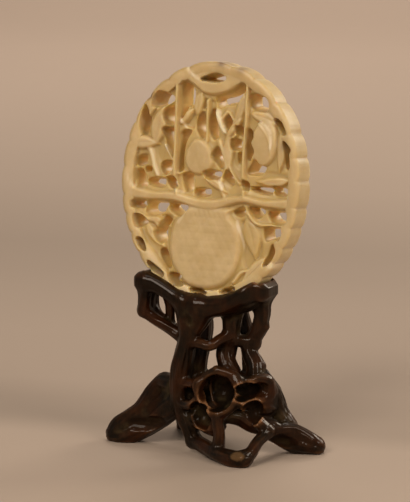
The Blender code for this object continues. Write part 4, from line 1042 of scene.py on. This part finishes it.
class Nodes:
    """Short helpers for building a material's nodes."""

    def __init__(self, name, settings):
        self.material = bpy.data.materials.new(name)
        self.material.use_nodes = True
        self.tree = self.material.node_tree
        self.shader = self.tree.nodes["Principled BSDF"]
        for socket, value in settings.items():
            self.shader.inputs[socket].default_value = value

    def add(self, kind, settings=(), **inputs):
        node = self.tree.nodes.new(kind)
        for key, value in dict(settings).items():
            setattr(node, key, value)
        for key, value in inputs.items():
            self.put(node.inputs[key.replace("_", " ")], value)
        return node

    def put(self, socket, value):
        if isinstance(value, bpy.types.NodeSocket):
            self.tree.links.new(value, socket)
        else:
            socket.default_value = value

    def value(self, name):
        return self.add("ShaderNodeAttribute", {"attribute_name": name}).outputs["Fac"]

    def place(self):
        return self.add("ShaderNodeTexCoord").outputs["Object"]

    def noise(self, scale, detail=4.0, rough=0.55, vector=None, distortion=0.0):
        node = self.add("ShaderNodeTexNoise", Scale=scale, Detail=detail, Roughness=rough,
                        Distortion=distortion)
        self.put(node.inputs["Vector"], vector or self.place())
        return node.outputs["Fac"]

    def ramp(self, value, low, high):
        node = self.add("ShaderNodeMapRange", {"interpolation_type": "SMOOTHSTEP"}, Value=value)
        node.inputs["From Min"].default_value = low
        node.inputs["From Max"].default_value = high
        return node.outputs["Result"]

    def calculate(self, operation, first, second):
        node = self.add("ShaderNodeMath", {"operation": operation})
        self.put(node.inputs[0], first)
        self.put(node.inputs[1], second)
        return node.outputs[0]

    def scale(self, value, factor):
        return self.calculate("MULTIPLY", value, factor)

    def plus(self, first, second):
        return self.calculate("ADD", first, second)

    def mix(self, share, first, second):
        node = self.add("ShaderNodeMix", {"data_type": "RGBA"})
        self.put(node.inputs["Factor"], share)
        self.put(node.inputs[6], first)
        self.put(node.inputs[7], second)
        return node.outputs[2]

    def lay(self, base, share, strength, colour):
        """Lays a colour over the base, as strong as the share says."""
        return self.mix(self.scale(share, strength), base, (*colour, 1))

    def bump(self, height, strength, distance, normal=None):
        node = self.add("ShaderNodeBump", Strength=strength, Distance=distance, Height=height)
        if normal is not None:
            self.put(node.inputs["Normal"], normal)
        return node.outputs["Normal"]

    def finish(self, **sockets):
        """Joins what was built to the shader and returns the material."""
        for key, value in sockets.items():
            self.put(self.shader.inputs[key.replace("_", " ")], value)
        return self.material


def jade_material():
    """Pale warm nephrite: waxy, slightly see-through, with painted shade on its ground, thin parts and
    inner corners, a painted golden glow inside the cuts and painted highlights on small facets.
    """
    m = Nodes("jade", JADE_SHADER)
    cloud = m.ramp(m.noise(120, 3), 0.38, 0.66)
    fine = m.noise(700, 5, 0.6)
    base = m.mix(cloud, (0.57, 0.405, 0.19, 1), (0.65, 0.485, 0.255, 1))
    base = m.lay(base, m.ramp(fine, 0.45, 0.75), 0.2, (0.68, 0.54, 0.32))
    base = m.lay(base, m.ramp(m.noise(380, 4, 0.6), 0.42, 0.68), 0.3, (0.50, 0.35, 0.155))
    for name, strength, colour in JADE_TONES:
        base = m.lay(base, m.value(name), strength, colour)
    return m.finish(Base_Color=base, Roughness=m.plus(m.scale(fine, 0.25), 0.3),
                    Normal=m.bump(m.noise(900, 4, 0.6), 0.25, 0.0001))


def wood_material():
    """Near-black polished hardwood, red-brown where light catches it, worn paler on its edges with painted
    highlights on the sharpest, and with painted shade in its hollows.
    """
    m = Nodes("dark_wood", WOOD_SHADER)
    stretch = m.add("ShaderNodeMapping", Vector=m.place())
    stretch.inputs["Scale"].default_value = (1.0, 1.0, 0.28)
    along = stretch.outputs["Vector"]
    grain = m.noise(900, 6, 0.65, along, 0.6)
    wear_and_glint, hollow = m.value("wear_and_glint"), m.value("hollow")
    base = m.mix(m.ramp(m.noise(110, 3), 0.4, 0.68), (*WOOD_BLACK, 1), (0.026, 0.0075, 0.0022, 1))
    base = m.lay(base, m.ramp(grain, 0.45, 0.8), 0.45, (0.036, 0.016, 0.006))
    base = m.lay(base, wear_and_glint, 0.75, (0.115, 0.05, 0.019))
    # Painted highlights: pale glints along the sharpest ridges
    base = m.lay(base, m.ramp(wear_and_glint, 0.7, 1.0), 0.55, (0.27, 0.14, 0.07))
    # Painted shade: hollows darkened towards black
    base = m.lay(base, hollow, 0.8, WOOD_BLACK)
    dust = m.scale(m.ramp(m.noise(170, 4), 0.5, 0.66), m.ramp(hollow, 0.1, 0.5))
    base = m.lay(base, dust, 0.6, (0.042, 0.030, 0.014))
    base = m.lay(base, m.value("knot_rim"), 0.8, (0.006, 0.004, 0.002))
    base = m.lay(base, m.value("knot"), 0.7, (0.13, 0.075, 0.034))
    low = m.bump(m.noise(260, 5, 0.6, along), 0.5, 0.0004)
    return m.finish(Base_Color=base, Coat_Weight=m.plus(m.scale(hollow, -0.26), 0.28),
                    Roughness=m.plus(m.scale(grain, 0.3), m.plus(m.scale(hollow, 0.25), 0.26)),
                    Normal=m.bump(grain, 0.35, 0.00012, low))


def paper_material():
    """A plain matt finish for the floor, darker where less light reaches it in the photograph."""
    m = Nodes("paper", PAPER_SHADER)
    shade = m.mix(m.value("shade"), PAPER_DARK, PAPER_PALE)
    return m.finish(Base_Color=m.mix(m.scale(m.noise(30, 3), 0.04), shade, PAPER_DARK))


def build_floor():
    """A pale sheet that runs back and curves up far behind the object."""
    level = np.concatenate([[-1.5], np.linspace(-0.1, 0.1, 41), np.linspace(0.12, 1.1, 50)])
    rise = smooth_path([(1.2, 0, 0), (1.6, 0.04, 0), (1.9, 0.2, 0), (2.05, 0.5, 0), (2.1, 2.2, 0)], 12)
    line = np.concatenate([np.stack([level, 0 * level], 1), rise[:, :2]])
    turn = Matrix.Rotation(CAMERA_AZIMUTH + PAPER_TURN, 3, "Z")
    places = [turn @ Vector((x, y, z)) for y, z in line for x in (-3.0, 3.0)]
    faces = [(2 * i, 2 * i + 1, 2 * i + 3, 2 * i + 2) for i in range(len(line) - 1)]
    mesh = bpy.data.meshes.new("floor")
    mesh.from_pydata(places, [], faces)
    mesh.shade_smooth()
    floor = add_object("floor", mesh)
    behind, shade = zip(*PAPER_SHADE)
    add_value(floor, "shade", np.repeat(np.interp(line[:, 0], behind, shade), 2))
    mesh.materials.append(paper_material())


def from_target(azimuth, elevation):
    """The way from the object towards a camera or light, in radians from the front and the floor."""
    return Vector((math.sin(azimuth) * math.cos(elevation), -math.cos(azimuth) * math.cos(elevation),
                   math.sin(elevation)))


def add_light(name, azimuth, elevation, distance, size, power, colour):
    """A square soft light, aimed at the object or, if it is the far one, at the paper behind."""
    data = bpy.data.lights.new(name, "AREA")
    data.size = size
    data.energy = power
    data.color = colour
    light = add_object(name, data)
    way = from_target(math.radians(azimuth), math.radians(elevation))
    light.location = Vector(CAMERA_TARGET) + way * distance
    target = Vector(FAR_TARGET if name == "far" else CAMERA_TARGET)
    light.rotation_euler = (light.location - target).to_track_quat("Z", "Y").to_euler()


def build_light():
    """Soft warm studio light: a high front light, sides that make the stone glow, and an even surround."""
    for name, settings in LIGHTS.items():
        add_light(name, *settings)
    world = bpy.data.worlds.new("surround")
    bpy.context.scene.world = world
    world.use_nodes = True
    shade = world.node_tree.nodes["Background"]
    shade.inputs["Color"].default_value = (1.0, 0.92, 0.82, 1)
    shade.inputs["Strength"].default_value = 0.2


def build_camera():
    """The photograph's view."""
    data = bpy.data.cameras.new("camera")
    data.sensor_fit = "VERTICAL"
    data.sensor_height = 36
    data.lens = FOCAL_PIXELS * data.sensor_height / IMAGE_HEIGHT
    data.clip_start = 0.05
    data.clip_end = 10
    camera = add_object("camera", data)
    way = from_target(CAMERA_AZIMUTH, CAMERA_ELEVATION)
    right = Vector((math.cos(CAMERA_AZIMUTH), math.sin(CAMERA_AZIMUTH), 0))
    camera.location = Vector(CAMERA_TARGET) + way * CAMERA_DISTANCE - right * CAMERA_SIDESTEP
    camera.rotation_euler = way.to_track_quat("Z", "Y").to_euler()
    bpy.context.scene.camera = camera


def main():
    """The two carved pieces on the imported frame, and the stage round them."""
    bpy.context.scene.view_settings.view_transform = "Standard"
    plaque = build_plaque()
    plaque.data.materials.append(jade_material())
    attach(plaque, "root")
    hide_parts("jade_plaque")
    stand = build_stand()
    stand.data.materials.append(wood_material())
    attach(stand, "root")
    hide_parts("wood_stand")
    build_floor()
    build_light()
    build_camera()


main()
